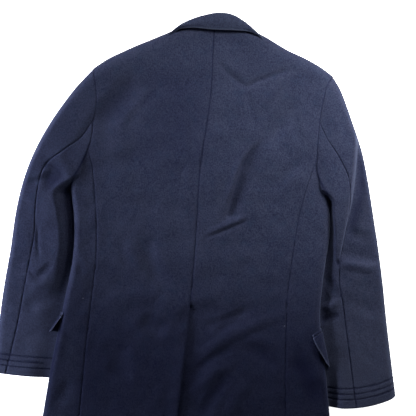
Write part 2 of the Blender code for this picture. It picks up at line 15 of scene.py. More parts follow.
import bpy
import numpy as np
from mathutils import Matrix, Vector


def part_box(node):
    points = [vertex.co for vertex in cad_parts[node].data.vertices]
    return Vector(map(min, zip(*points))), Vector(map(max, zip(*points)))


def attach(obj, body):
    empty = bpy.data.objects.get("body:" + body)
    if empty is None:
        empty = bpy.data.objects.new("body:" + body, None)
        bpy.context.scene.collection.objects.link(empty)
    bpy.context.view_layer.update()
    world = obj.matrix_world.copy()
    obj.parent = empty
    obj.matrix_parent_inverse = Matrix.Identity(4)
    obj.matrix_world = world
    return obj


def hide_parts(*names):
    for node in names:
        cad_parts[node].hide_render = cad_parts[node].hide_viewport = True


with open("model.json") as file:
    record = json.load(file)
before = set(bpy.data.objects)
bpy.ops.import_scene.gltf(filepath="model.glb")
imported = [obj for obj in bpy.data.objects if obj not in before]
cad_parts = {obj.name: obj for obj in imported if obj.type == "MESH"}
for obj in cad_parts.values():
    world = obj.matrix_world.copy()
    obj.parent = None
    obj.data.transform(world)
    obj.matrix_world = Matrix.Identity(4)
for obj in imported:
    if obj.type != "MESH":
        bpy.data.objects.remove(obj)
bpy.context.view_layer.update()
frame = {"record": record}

log = logging.getLogger("overcoat")

Array = np.ndarray
Places = np.ndarray | float
Pair = tuple[float, float]
Triple = tuple[float, float, float]
Colour = tuple[float, float, float, float]
PlanLine = Callable[[Places], Places]
MM = 0.001

# Cloth; the seams overlap a little, so that no light shows through them
CLOTH = 2.5
GAP = 0.3
HALF_GAP = -0.3
LAYER = CLOTH + GAP

# Spacing of the grids
PITCH = 2.8
UNDER_PITCH = 6.0
SEAM_LINES = (0.4, 1.0, 1.8, 2.8, 4.2)
ROLL_LINES = 11
SOLVE_STEPS = 8
NUDGE, NEAR = 2.0, 1e-6

# Where two edges of the CAD lie in plan, which ties the plan to the frame
PLAN_LEFT, PLAN_LAPEL = -416.15, 52.0

# Width of the picture in pixels, and what a pixel spans on the coat
PICTURE, PIXEL = 416, 1.946


# Curves


def ease(t: Array) -> Array:
    """A smooth step from 0 to 1 over the same range of t."""
    t = np.clip(t, 0, 1)
    return t * t * (3 - 2 * t)


def between(inner: Places, outer: Places, share: Places) -> Places:
    """The point at a share of the way from inner to outer."""
    return inner + share * (outer - inner)


def stronger(one: Array, other: Array) -> Array:
    """Whichever of two values is farther from 0."""
    return np.where(np.abs(other) > np.abs(one), other, one)


@dataclass(frozen=True)
class Curve:
    """A smooth curve through its knots, level beyond its ends.

    Attributes:
        knots: (place, value) pairs with rising places.
    """

    knots: tuple[Pair, ...]

    def at(self, place: Places) -> Array:
        """The curve's value.

        Args:
            place: where to read it.

        Returns:
            The value at each place.
        """
        knots, values = (np.array(column, float) for column in zip(*self.knots))
        slopes = np.gradient(values, knots)
        place = np.clip(np.asarray(place, float), knots[0], knots[-1])
        i = np.clip(np.searchsorted(knots, place) - 1, 0, len(knots) - 2)
        span = knots[i + 1] - knots[i]
        t = (place - knots[i]) / span
        rise = values[i + 1] - values[i]
        left, right = slopes[i] * span, slopes[i + 1] * span
        return values[i] + t * (left + t * (3 * rise - 2 * left - right + t * (left + right - 2 * rise)))


def spread(length: float, pitch: float) -> Array:
    """Shares from 0 to 1 at a pitch, with more lines beside both ends.

    Args:
        length: the run in mm.
        pitch: spacing away from the ends, in mm.

    Returns:
        Rising shares.
    """
    near = np.array((0.0, *SEAM_LINES))
    count = max(2, round((length - 2 * near[-1]) / pitch))
    middle = np.linspace(near[-1], length - near[-1], count + 1)[1:-1]
    return np.concatenate([near, middle, length - near[::-1]]) / length


def from_fold(length: float, roll: float, pitch: float) -> Array:
    """Shares from a fold at 0 to a seam at 1, with more lines round the fold and beside the seam.

    Args:
        length: the run in mm.
        roll: how much of it rounds the fold, in mm.
        pitch: spacing elsewhere, in mm.

    Returns:
        Rising shares.
    """
    turn = roll * (1 - np.cos(np.linspace(0, np.pi / 2, ROLL_LINES + 1)))
    end = length - np.array((0.0, *SEAM_LINES))[::-1]
    count = max(1, round((end[0] - turn[-1]) / pitch))
    middle = np.linspace(turn[-1], end[0], count + 1)[1:-1]
    return np.concatenate([turn, middle, end]) / length


# Creases


class Profile(Enum):
    """Section of a crease."""

    SOFT = "soft"
    SHARP = "sharp"
    LEDGE = "ledge"
    TUCK = "tuck"


@dataclass(frozen=True)
class Crease:
    """A crease of the upper side, along a smooth line in plan.

    Attributes:
        line: the points that it goes through.
        reach: half of its width.
        depth: how far it goes down; a ridge's is negative.
        profile: its section. Going down the line, a ledge drops on its left and stays down there, and a tuck
            is steep on its right and gentle on its left.
        shade: painted shade at its bottom, up to 1; a ridge with painted highlight has a negative one.
        ends: shares of its length over which it fades in and out.
    """

    line: tuple[Pair, ...]
    reach: float
    depth: float
    profile: Profile = Profile.SOFT
    shade: float = 0.0
    ends: Pair = (0.35, 0.35)

    STEPS, STEEP, SHARPNESS = 18, 0.25, 1.5

    def points(self) -> Array:
        """Points along the smooth line.

        Returns:
            Rows of x and y.
        """
        line = np.array(self.line, float)
        run = np.concatenate([[0], np.cumsum(np.linalg.norm(np.diff(line, axis=0), axis=1))])
        at = np.linspace(0, run[-1], self.STEPS)
        return np.stack([Curve(tuple(zip(run, line[:, k]))).at(at) for k in (0, 1)], -1)

    def strength(self, x: Array, y: Array) -> Array:
        """How strongly the crease acts, from 0 to 1.

        Args:
            x: plan places across.
            y: plan places along.

        Returns:
            The share of its depth that each place takes.
        """
        line = self.points()
        ledge = self.profile is Profile.LEDGE
        low, high = line.min(0) - self.reach, line.max(0) + self.reach
        near = (x > low[0]) & ((x < high[0]) | ledge) & (y > low[1]) & (y < high[1])
        result = np.zeros(np.shape(x))
        if not near.any():
            return result
        step = np.diff(line, axis=0)
        dx, dy = x[near][:, None] - line[:-1, 0], y[near][:, None] - line[:-1, 1]
        t = np.clip((dx * step[:, 0] + dy * step[:, 1]) / (step**2).sum(1), 0, 1)
        off = np.hypot(dx - t * step[:, 0], dy - t * step[:, 1])
        nearest = off.argmin(1)[:, None]
        ratio = np.take_along_axis(off, nearest, 1)[:, 0] / self.reach
        part = (nearest[:, 0] + np.take_along_axis(t, nearest, 1)[:, 0]) / len(step)
        fade = ease(part / max(self.ends[0], NEAR)) * ease((1 - part) / max(self.ends[1], NEAR))
        left = np.take_along_axis(dx * step[:, 1] - dy * step[:, 0], nearest, 1)[:, 0] < 0
        if ledge:
            result[near] = fade * np.where(left, ease(ratio), 0)
        elif self.profile is Profile.TUCK:
            result[near] = fade * np.clip(1 - ratio / np.where(left, 1.0, self.STEEP), 0, 1) ** self.SHARPNESS
        elif self.profile is Profile.SHARP:
            result[near] = fade * np.clip(1 - ratio, 0, 1) ** self.SHARPNESS
        else:
            result[near] = fade * np.clip(1 - ratio**2, 0, 1) ** 2
        return result


def soft(reach: float, depth: float, *line: Pair) -> Crease:
    """A soft trough or, with a negative depth, a soft ridge."""
    return Crease(line, reach, depth)


# Creases of the back and the sides, from the shoulders to the hem; their shade is painted shade, or painted
# light where negative
BACK_CREASES = (
    Crease(((-128, 262), (-165, 216), (-215, 152)), 36, 6.0, shade=0.24),
    soft(16, 1.6, (-96, 238), (-128, 196), (-170, 140)),
    Crease(((-70, 300), (-68, 200), (-74, 90), (-92, 0)), 110, 2.0, shade=0.26, ends=(0.2, 0.5)),
    Crease(((16, 285), (36, 264), (56, 246), (79, 231)), 7, 2.6, ends=(0.2, 0.1)),
    Crease(((73, 232), (97, 246), (125, 256), (164, 271)), 8, 3.0, ends=(0.1, 0.25)),
    soft(8, 1.5, (77, 236), (79, 210), (89, 174)),
    soft(10, -2.4, (88, 176), (112, 206), (141, 240), (164, 268)),
    soft(10, -1.2, (30, 286), (56, 264), (78, 250)),
    soft(26, 6.0, (186, 238), (140, 160), (100, 112)),
    Crease(((124, 146), (96, 122), (76, 98), (62, 66), (49, 22), (37, -22)), 30, 7.5, Profile.TUCK, 0.24,
           (0.45, 0.06)),
    soft(13, -2.6, (96, 136), (64, 92), (48, 46), (33, -4)),
    soft(18, 2.4, (198, 104), (148, 62), (112, 20)),
    Crease(((80, -22), (36, -42), (-14, -62)), 7, 3.0, Profile.SHARP, ends=(0.15, 0.4)),
    soft(10, -2.4, (84, -13), (38, -33), (-10, -52)),
    soft(13, 1.6, (-31, 190), (-30, 144), (-27, 96)),
    soft(11, 1.2, (-52, 96), (-48, 64), (-50, 30)),
    soft(14, 1.6, (166, 190), (172, 150), (186, 118)),
    soft(15, 1.6, (-172, -62), (-158, -100), (-146, -116)),
    soft(24, 4.0, (-132, -53), (-99, -125), (-62, -165)),
    soft(26, -3.6, (-100, -172), (-64, -194), (-36, -208)),
    soft(26, 4.2, (-136, -214), (-108, -230), (-76, -245)),
    soft(30, 3.6, (-190, -250), (-168, -300), (-176, -350)),
    soft(15, 2.8, (-24, -236), (40, -217), (104, -184)),
    soft(17, -2.8, (-34, -300), (30, -258), (104, -222), (150, -204)),
    soft(9, 2.2, (6, -244), (38, -231), (68, -217)),
    soft(14, 2.8, (-43, -336), (-2, -301), (31, -280), (62, -268)),
    soft(15, -2.6, (-40, -372), (8, -326), (62, -296)),
    Crease(((62, -268), (91, -280), (113, -292), (146, -317)), 17, 2.8, shade=0.12),
    soft(15, -2.0, (68, -252), (108, -260), (146, -280)),
    Crease(((44, -318), (20, -350), (-6, -400), (-14, -430)), 19, 4.4, shade=0.18),
    soft(20, -2.8, (84, -330), (56, -372), (40, -420)),
    Crease(((160, -258), (180, -300), (204, -360), (214, -400)), 27, 4.0, shade=0.4),
    soft(12, 1.6, (-259, -82), (-252, -106), (-243, -134)),
    Crease(((-258, -200), (-270, -290), (-285, -380), (-298, -460)), 40, -1.0, shade=-0.55, ends=(0.4, 0.0)),
    Crease(((-264, -60), (-284, -200), (-304, -300), (-322, -400)), 10, 0.3, shade=0.3, ends=(0.2, 0.3)),
    soft(18, 2.2, (-262, -330), (-284, -366), (-306, -398)),
    soft(30, 2.6, (-210, -430), (-180, -490), (-190, -560)),
    soft(28, 2.6, (90, -420), (110, -490), (96, -570)),
    Crease(((-33, -188), (-34, -196), (-35, -204)), 5, 2.6, Profile.SHARP, 0.5),
)

# Creases of the sleeves; their shade is painted shade, or painted light where negative
SLEEVE_CREASES = (
    Crease(((-330, 80), (-306, 82), (-291, 74), (-279, 60), (-271, 42)), 11, 5.0, Profile.SHARP, 0.34,
           (0.5, 0.45)),
    Crease(((-318, 64), (-302, 56), (-289, 40)), 30, 5.0, shade=0.40),
    soft(15, -5.0, (-312, 106), (-288, 98), (-268, 76), (-256, 54)),
    soft(12, 3.4, (-354, 52), (-332, 51), (-304, 66)),
    soft(7, 1.8, (-370, 22), (-358, 16), (-346, 8)),
    Crease(((-332, -18), (-331, -62), (-328, -110)), 6, 2.4, Profile.SHARP),
    soft(12, 2.8, (-302, -102), (-320, -126), (-344, -140)),
    soft(9, 1.8, (-352, -112), (-344, -124), (-334, -134)),
    soft(9, 1.6, (-388, -104), (-374, -110), (-358, -110)),
    soft(15, -2.2, (-350, -156), (-330, -152), (-304, -140)),
    soft(18, 2.6, (-362, -200), (-328, -184), (-288, -172)),
    soft(18, 2.4, (-304, 168), (-282, 152), (-256, 140)),
    soft(11, 1.5, (-268, 214), (-254, 208), (-240, 206)),
    soft(10, 1.4, (-404, -188), (-394, -194), (-382, -196)),
    soft(14, 1.6, (-390, -246), (-352, -252), (-318, -240)),
    Crease(((289, 150), (281, 44), (275, 4), (267, -30), (252, -104)), 4, 6.0, Profile.LEDGE, 0.0,
           (0.06, 0.08)),
    Crease(((289, 150), (280, 44), (274, 4), (266, -31), (252, -100)), 5.5, -1.8, shade=-0.26,
           ends=(0.08, 0.6)),
    Crease(((304, 132), (297, 44), (291, 4), (283, -26), (268, -90)), 15, 1.0, shade=0.36, ends=(0.2, 0.3)),
    soft(14, -4.4, (250, -104), (290, -113), (334, -122)),
    soft(17, 2.8, (262, -34), (284, -52), (318, -60)),
    Crease(((250, -98), (252, -106), (254, -114)), 5, 3.0, shade=0.5),
    Crease(((230, -128), (240, -150), (256, -180)), 14, 2.6, shade=0.2),
    soft(12, -3.4, (216, -198), (238, -190), (262, -178)),
    Crease(((214, -226), (236, -214), (258, -204)), 12, 3.6, shade=0.25),
    soft(14, 1.6, (294, -176), (306, -192), (322, -210)),
    soft(13, 1.6, (296, -278), (312, -290), (330, -304)),
    soft(11, 1.5, (230, 248), (238, 226), (240, 206)),
    soft(14, 1.4, (256, 180), (266, 150), (268, 120)),
)

# Lower armhole seams, where the sleeves lie against the sides, as sharp creases with painted shade
UNDERARMS = (
    Crease(((-226, 140), (-233.5, 113), (-251, 76), (-264.7, 51), (-267.6, 37)), 3.6, 1.6, Profile.SHARP, 0.9,
           (0.35, 0.0)),
    Crease(((212, 105), (212, 68), (221, 45), (235.5, 20)), 3.6, 1.6, Profile.SHARP, 0.9, (0.3, 0.0)),
)


@dataclass(frozen=True)
class Ripple:
    """Seeded unevenness of cloth: waves of mixed length and direction.

    Attributes:
        seed: start of the random row.
        lengths: shortest and longest wave, in mm.
        height: root mean square height, in mm.
        count: number of waves.
    """

    seed: int
    lengths: Pair
    height: float
    count: int = 36

    def at(self, x: Array, y: Array) -> Array:
        """Height of the waves at plan places.

        Args:
            x: places across.
            y: places along.

        Returns:
            Heights in mm.
        """
        rng = np.random.default_rng(self.seed)
        waves = np.geomspace(*self.lengths, self.count)
        heading = rng.uniform(0, np.pi, self.count)
        phase = rng.uniform(0, 2 * np.pi, self.count)
        total = np.zeros(np.shape(x))
        for length, angle, start in zip(waves, heading, phase):
            along = x * np.cos(angle) + y * np.sin(angle)
            total += length * np.cos(2 * np.pi * along / length + start)
        return total * self.height / np.sqrt((waves**2).sum() / 2)


# Body


class Station(NamedTuple):
    """One section across a sleeve.

    Attributes:
        outer_x: the outer fold's place across.
        outer_y: the outer fold's place along.
        inner_y: where the inner fold meets the side, along.
        tuck: how far the inner fold goes under the side.
        fade: share of the armhole's curve that it follows.
        crown: height of the upper face.
        seam: share across it where the back seam runs.
    """

    outer_x: float
    outer_y: float
    inner_y: float
    tuck: float
    fade: float
    crown: float
    seam: float


@dataclass(frozen=True)
class Flap:
    """Lie of one pocket flap.

    Attributes:
        hinge_y: height of its hinge at the side fold.
        rear: how far it reaches round onto the back.
        slope: slope of the hinge towards the rear.
        swing: how far its lower rear corner swings out.
        skew: slant of the rear edge.
        stand: how far the rear edge stands off.
        draw: share by which its rear end is drawn up.
        hold: how far under the fold it is drawn.
        dusk: painted shade over its rear end.
    """

    hinge_y: float
    rear: float
    slope: float
    swing: float
    skew: float
    stand: float
    draw: float
    hold: float
    dusk: float


@dataclass(frozen=True)
class Half:
    """Outlines of one half of the coat in plan, and the tables of its sleeve and flap.

    Attributes:
        name: left or right.
        sign: -1 on the left and 1 on the right.
        edge: side fold, x over y.
        back_seam_knots: side-back seam below the armhole, (y, x).
        armhole: back armhole, x over y.
        back_apex: share down the armhole where the side-back seam meets it.
        roll_top: top of the lapel's roll line.
        flap: its pocket flap.
        stations: its sleeve, from the armhole to the cuff.
        valley: how far out from the side fold the sleeve climbs, over y.
        dusk: painted shade in that climb beside the side fold, over y.
        cuff_bow: how far the cuff's rim bows.
    """

    name: str
    sign: int
    edge: Curve
    back_seam_knots: tuple[Pair, ...]
    armhole: Curve
    back_apex: float
    roll_top: Pair
    flap: Flap
    stations: tuple[Station, ...]
    valley: Curve
    dusk: Curve
    cuff_bow: float

    SCOOP = 12.0
    FRONT_APEX = 0.85
    SIDE_TURN, SIDE_TURN_RUN = 62.0, 170.0

    @property
    def hole_span(self) -> Pair:
        """The armhole's y at the underarm and at the shoulder."""
        return self.armhole.knots[0][0], self.armhole.knots[-1][0]

    def hole(self, share: Places) -> tuple[Array, Array]:
        """Points of the back armhole.

        Args:
            share: places from the shoulder at 0 to the underarm at 1.

        Returns:
            Their x and their y.
        """
        low, high = self.hole_span
        y = high + (low - high) * np.asarray(share, float)
        return self.armhole.at(y), y

    def front_hole(self, share: Places) -> tuple[Array, Array]:
        """Points of the front armhole, which is scooped."""
        x, y = self.hole(share)
        return x - self.sign * self.SCOOP * np.sin(np.pi * np.asarray(share, float)), y

    def back_seam(self, y: Places) -> Array:
        """The side-back seam's x."""
        x, top = self.hole(self.back_apex)
        return Curve(self.back_seam_knots + ((float(top), float(x)),)).at(y)

    def front_seam(self, y: Places) -> Array:
        """The seam between side and front, underneath.

        Args:
            y: plan places along.

        Returns:
            Its x there.
        """
        x, top = self.front_hole(self.FRONT_APEX)
        narrow = abs(x - self.edge.at(top))
        turn = narrow + (self.SIDE_TURN - narrow) * ease((top - y) / self.SIDE_TURN_RUN)
        return self.edge.at(y) - self.sign * turn


LEFT = Half(
    name="left",
    sign=-1,
    edge=Curve(((-620, -356), (-500, -338), (-397, -321), (-300, -304), (-200, -284), (-80, -262), (0, -263),
                (37, -267.6), (110, -266), (345, -255))),
    back_seam_knots=((-620, -277), (-397, -250), (-267, -237.5), (-169, -226), (-82, -217), (35, -221),
                     (74, -224)),
    armhole=Curve(((37, -267.6), (51, -264.7), (76, -251), (113, -233.5), (140, -226), (173, -222),
                   (191, -218), (272, -222))),
    back_apex=0.67,
    roll_top=(-60, 334),
    flap=Flap(hinge_y=-209, rear=4, slope=0.02, swing=15.5, skew=0.0, stand=0.0, draw=0.415, hold=40,
              dusk=0.8),
    stations=(
        Station(-222, 272, 37, 0, 1.0, 40, 0.426),
        Station(-261, 230, 10, 4, 0.74, 42, 0.42),
        Station(-304, 171, -20, 8, 0.36, 42, 0.31),
        Station(-337, 113, -58, 11, 0.08, 38, 0.20),
        Station(-360, 54, -97, 14, 0, 34, 0.24),
        Station(-375, -8, -135, 16, 0, 28, 0.31),
        Station(-385.5, -80, -175, 18, 0, 24, 0.295),
        Station(-398, -150, -215, 18, 0, 21, 0.29),
        Station(-407, -215, -255, 18, 0, 20, 0.275),
        Station(-413.5, -275, -298, 18, 0, 21, 0.23),
        Station(-416, -320, -331, 17, 0, 24, 0.175),
    ),
    valley=Curve(((-330, 45), (-230, 45), (-170, 40), (-130, 34), (-90, 30), (-40, 30), (20, 35), (60, 36))),
    dusk=Curve(((-330, 0.0), (-170, 0.0), (-130, 0.06), (-82, 0.24), (0, 0.36), (37, 0.25))),
    cuff_bow=2.0,
)
RIGHT = Half(
    name="right",
    sign=1,
    edge=Curve(((-640, 251), (-500, 244), (-397, 236.5), (-300, 227), (-215, 218), (-140, 224), (-43, 237),
                (20, 236), (110, 238), (345, 256))),
    back_seam_knots=((-640, 152), (-237, 152), (-179, 154), (-101, 163.5), (-29, 175), (37, 191)),
    armhole=Curve(((20, 235.5), (45, 221), (68, 212), (105, 212), (165, 216.5), (215, 225), (240, 232),
                   (256, 243))),
    back_apex=0.69,
    roll_top=(88, 329),
    flap=Flap(hinge_y=-241, rear=17, slope=-0.7, swing=0.0, skew=0.36, stand=5.6, draw=-0.2, hold=12,
              dusk=0.4),
    stations=(
        Station(243, 256, 20, 0, 1.0, 40, 0.386),
        Station(260, 226, -8, 4, 0.74, 43, 0.395),
        Station(280, 171, -38, 8, 0.36, 43, 0.35),
        Station(300, 110, -70, 11, 0.08, 41, 0.32),
        Station(312, 52, -105, 14, 0, 37, 0.40),
        Station(322, -10, -140, 16, 0, 31, 0.54),
        Station(332, -75, -180, 18, 0, 27, 0.59),
        Station(341, -145, -225, 18, 0, 24, 0.555),
        Station(348, -215, -270, 18, 0, 22, 0.546),
        Station(356, -285, -325, 18, 0, 23, 0.539),
        Station(366, -365, -381, 16, 0, 26, 0.523),
    ),
    valley=Curve(((-390, 30), (-260, 30), (-180, 26), (-100, 20), (-50, 12), (-15, 8), (20, 8))),
    dusk=Curve(((-390, 0.0), (-260, 0.05), (-200, 0.15), (-130, 0.05), (-60, 0.1), (20, 0.18))),
    cuff_bow=16.0,
)
HALVES = (LEFT, RIGHT)


@dataclass(frozen=True)
class Body:
    """The body laid flat: its outlines in plan and its heights over the surface.

    Attributes:
        crown: height of the back's middle, over y.
        side: height of the back beside its folds, over y.
        lift: how far the sleeves lift the folds, over y.
        centre: centre-back seam, x over y.
        shoulder: shoulder line, y over x.
        rest: share of a side fold's height at which it is widest, over y.
        lay: painted shade that darkens the cloth towards the hem, over y.
        ripple: unevenness of the back.
    """

    crown: Curve = Curve(((-640, 14), (-470, 15), (-390, 16.5), (-330, 17.5), (-140, 20), (0, 24), (40, 27),
                          (110, 31), (190, 33), (356, 35)))
    side: Curve = Curve(((-640, 18), (-470, 20), (-390, 24), (-330, 29), (-140, 31), (0, 32), (40, 33),
                         (110, 36), (190, 40), (356, 42)))
    lift: Curve = Curve(((-640, 0), (-470, 0), (-390, 8), (-330, 14.5), (-140, 14.5), (0, 13.5), (40, 10),
                         (110, 4), (190, 0), (356, 0)))
    centre: Curve = Curve(((-640, -90), (-405, -60), (-190, -35), (-43, -23), (74, -15.5), (210, 4),
                           (356, 12)))
    shoulder: Curve = Curve(((-222, 272), (-198, 288), (-158, 307.5), (-78, 341), (-50, 353), (12, 362),
                             (65, 354), (107, 335.5), (154, 307.5), (195, 288), (222, 272), (243, 256)))
    rest: Curve = Curve(((-640, 0.5), (-470, 0.5), (-390, 0.25), (-330, 0.15), (0, 0.15), (60, 0.3),
                         (190, 0.5), (356, 0.5)))
    # Painted shade: the cloth is drawn darker towards the hem
    lay: Curve = Curve(((-420, 0.38), (-340, 0.46), (-260, 0.42), (-190, 0.26), (-110, 0.08), (-40, 0.0),
                        (0, 0.0)))
    ripple: Ripple = Ripple(7, (22.0, 95.0), 0.5)

    HEM_LEFT, HEM_RIGHT = (-352, -570), (250, -615)
    SIDE_ROLL, SHOULDER_ROLL, SHOULDER_LEVEL = 13.0, 22.0, 20.0
    LIFT_FULL, LIFT_END = 26.0, 62.0
    NECK_X, NECK_FLAT, NECK_BLEND = 14.0, 20.0, 50.0
    FLAP_LENGTH, FLAP_HEIGHT = 130.0, 52.0
    STEP_MARGIN, STEP_BLEND = 50.0, 40.0
    POCKET_ROOM = LAYER + 2.8
    DISH = 4

    def hem(self, x: Places) -> Places:
        """The hem's y."""
        slope = (self.HEM_RIGHT[1] - self.HEM_LEFT[1]) / (self.HEM_RIGHT[0] - self.HEM_LEFT[0])
        return self.HEM_LEFT[1] + slope * (x - self.HEM_LEFT[0])

    def foot(self, column: PlanLine) -> float:
        """Where a column meets the hem.

        Args:
            column: its x over y.

        Returns:
            The y there.
        """
        y = self.hem(0.0)
        for _ in range(SOLVE_STEPS):
            y = self.hem(column(y))
        return float(y)

    def upper(self, x: Array, y: Array) -> Array:
        """The back's height before its edges turn down.

        Args:
            x: plan places across.
            y: plan places along.

        Returns:
            Heights in mm.
        """
        left, right = LEFT.edge.at(y), RIGHT.edge.at(y)
        across = np.clip(np.abs(x - (left + right) / 2) / ((right - left) / 2), 0, 1)
        high = between(self.crown.at(y), self.side.at(y), across**self.DISH)
        return high + self.ripple.at(x, y) - sum(c.depth * c.strength(x, y) for c in BACK_CREASES)

    def pocket_step(self, half: Half, x: Array, y: Array) -> Array:
        """Room under a front for its flap.

        Args:
            half: the front's half.
            x: plan places across.
            y: plan places along.

        Returns:
            Heights in mm.
        """
        inward = (half.edge.at(y) - x) * half.sign
        reach = self.STEP_MARGIN + self.STEP_BLEND
        across = ease((self.FLAP_LENGTH + reach - inward) / self.STEP_BLEND)
        down = ease((half.flap.hinge_y + reach - y) / self.STEP_BLEND)
        up = ease((y - half.flap.hinge_y + self.FLAP_HEIGHT + reach) / self.STEP_BLEND)
        return self.POCKET_ROOM * across * down * up

    def lower(self, half: Half, x: Array, y: Array) -> Array:
        """The underside's height near a side, before its edges turn up.

        Args:
            half: the nearer half.
            x: plan places across.
            y: plan places along.

        Returns:
            Heights in mm.
        """
        inward = (half.edge.at(y) - x) * half.sign
        lift = self.lift.at(y) * (1 - ease((inward - self.LIFT_FULL) / (self.LIFT_END - self.LIFT_FULL)))
        return np.maximum(lift, self.pocket_step(half, x, y))

    def shoulder_turn(self, x: Array, y: Array) -> tuple[Array, Array]:
        """The share by which the shoulder fold has turned, and the way out of it.

        Args:
            x: plan places across.
            y: plan places along.

        Returns:
            Shares, and plan directions.
        """
        slope = (self.shoulder.at(x + NUDGE) - self.shoulder.at(x - NUDGE)) / (2 * NUDGE)
        size = np.sqrt(1 + slope**2)
        distance = np.clip((self.shoulder.at(x) - y) / size, 0, None)
        beside_neck = ease((np.abs(x - self.NECK_X) - self.NECK_FLAT) / self.NECK_BLEND)
        turned = (1 - np.clip(distance / self.SHOULDER_ROLL, 0, 1)) * beside_neck
        return turned, np.stack([-slope / size, 1 / size], -1)

    def face(self, half: Half, x: Array, y: Array, top: bool) -> tuple[Array, Array]:
        """Points and outward directions of the upper or lower face near a side.

        Args:
            half: the nearer half.
            x: plan places across.
            y: plan places along.
            top: whether it is the upper face.

        Returns:
            Points and unit directions.
        """
        flat = self.upper(x, y) if top else self.lower(half, x, y)
        middle = between(self.lift.at(y), self.side.at(y), self.rest.at(y))
        inward = (half.edge.at(y) - x) * half.sign
        turned = 1 - np.clip(inward / self.SIDE_ROLL, 0, 1)
        z = middle + (flat - middle) * np.sqrt(1 - turned**2)
        over, away = self.shoulder_turn(x, y)
        level = self.SHOULDER_LEVEL + (HALF_GAP if top else -HALF_GAP)
        z = level + (z - level) * np.sqrt(1 - over**2)
        up = np.sqrt(np.clip(1 - np.maximum(turned, over) ** 2, 0, 1)) * (1 if top else -1)
        out = np.stack([half.sign * turned + over * away[..., 0], over * away[..., 1], up], -1)
        return np.stack([x, y, z], -1), out / np.linalg.norm(out, axis=-1, keepdims=True)


# Panels


class Rim(Enum):
    """How a panel ends along one of its edges."""

    SEAM = "seam"
    FREE = "free"
    # A pale rim, with a painted highlight along its edge
    WORN = "worn"
    PLAIN = "plain"


class RimShape(NamedTuple):
    """Section of a panel's edge.

    Attributes:
        dip: how far the outer face turns in.
        pinch: how far the inner face turns out.
        reach: over what run they turn.
        uneven: how unevenly the outer face turns.
        shade: painted shade along the edge, or painted highlight where it is negative.
        fade: over what run that fades.
    """

    dip: float
    pinch: float
    reach: float
    uneven: float
    shade: float
    fade: float


# Seams get painted shade in their grooves; the pale rims get a painted highlight along their edges
RIM_SHAPES = {
    Rim.SEAM: RimShape(1.5, 0.0, 4.2, 0.35, 0.75, 1.9),
    Rim.FREE: RimShape(0.9, 0.9, 1.9, 0.1, 0.0, 1.0),
    Rim.WORN: RimShape(0.7, 0.9, 1.9, 0.1, -0.55, 3.6),
    Rim.PLAIN: RimShape(0.0, 0.0, 1.0, 0.0, 0.0, 1.0),
}
PUCKER = Ripple(3, (9.0, 26.0), 1.0)
PUCKER_LEAST, PUCKER_MOST = 0.3, 1.6


class Cut(NamedTuple):
    """A piece before it was sewn: width, length and area of the cut in metres, and what it lies on."""

    width: float
    length: float
    area: float
    rests_on: str


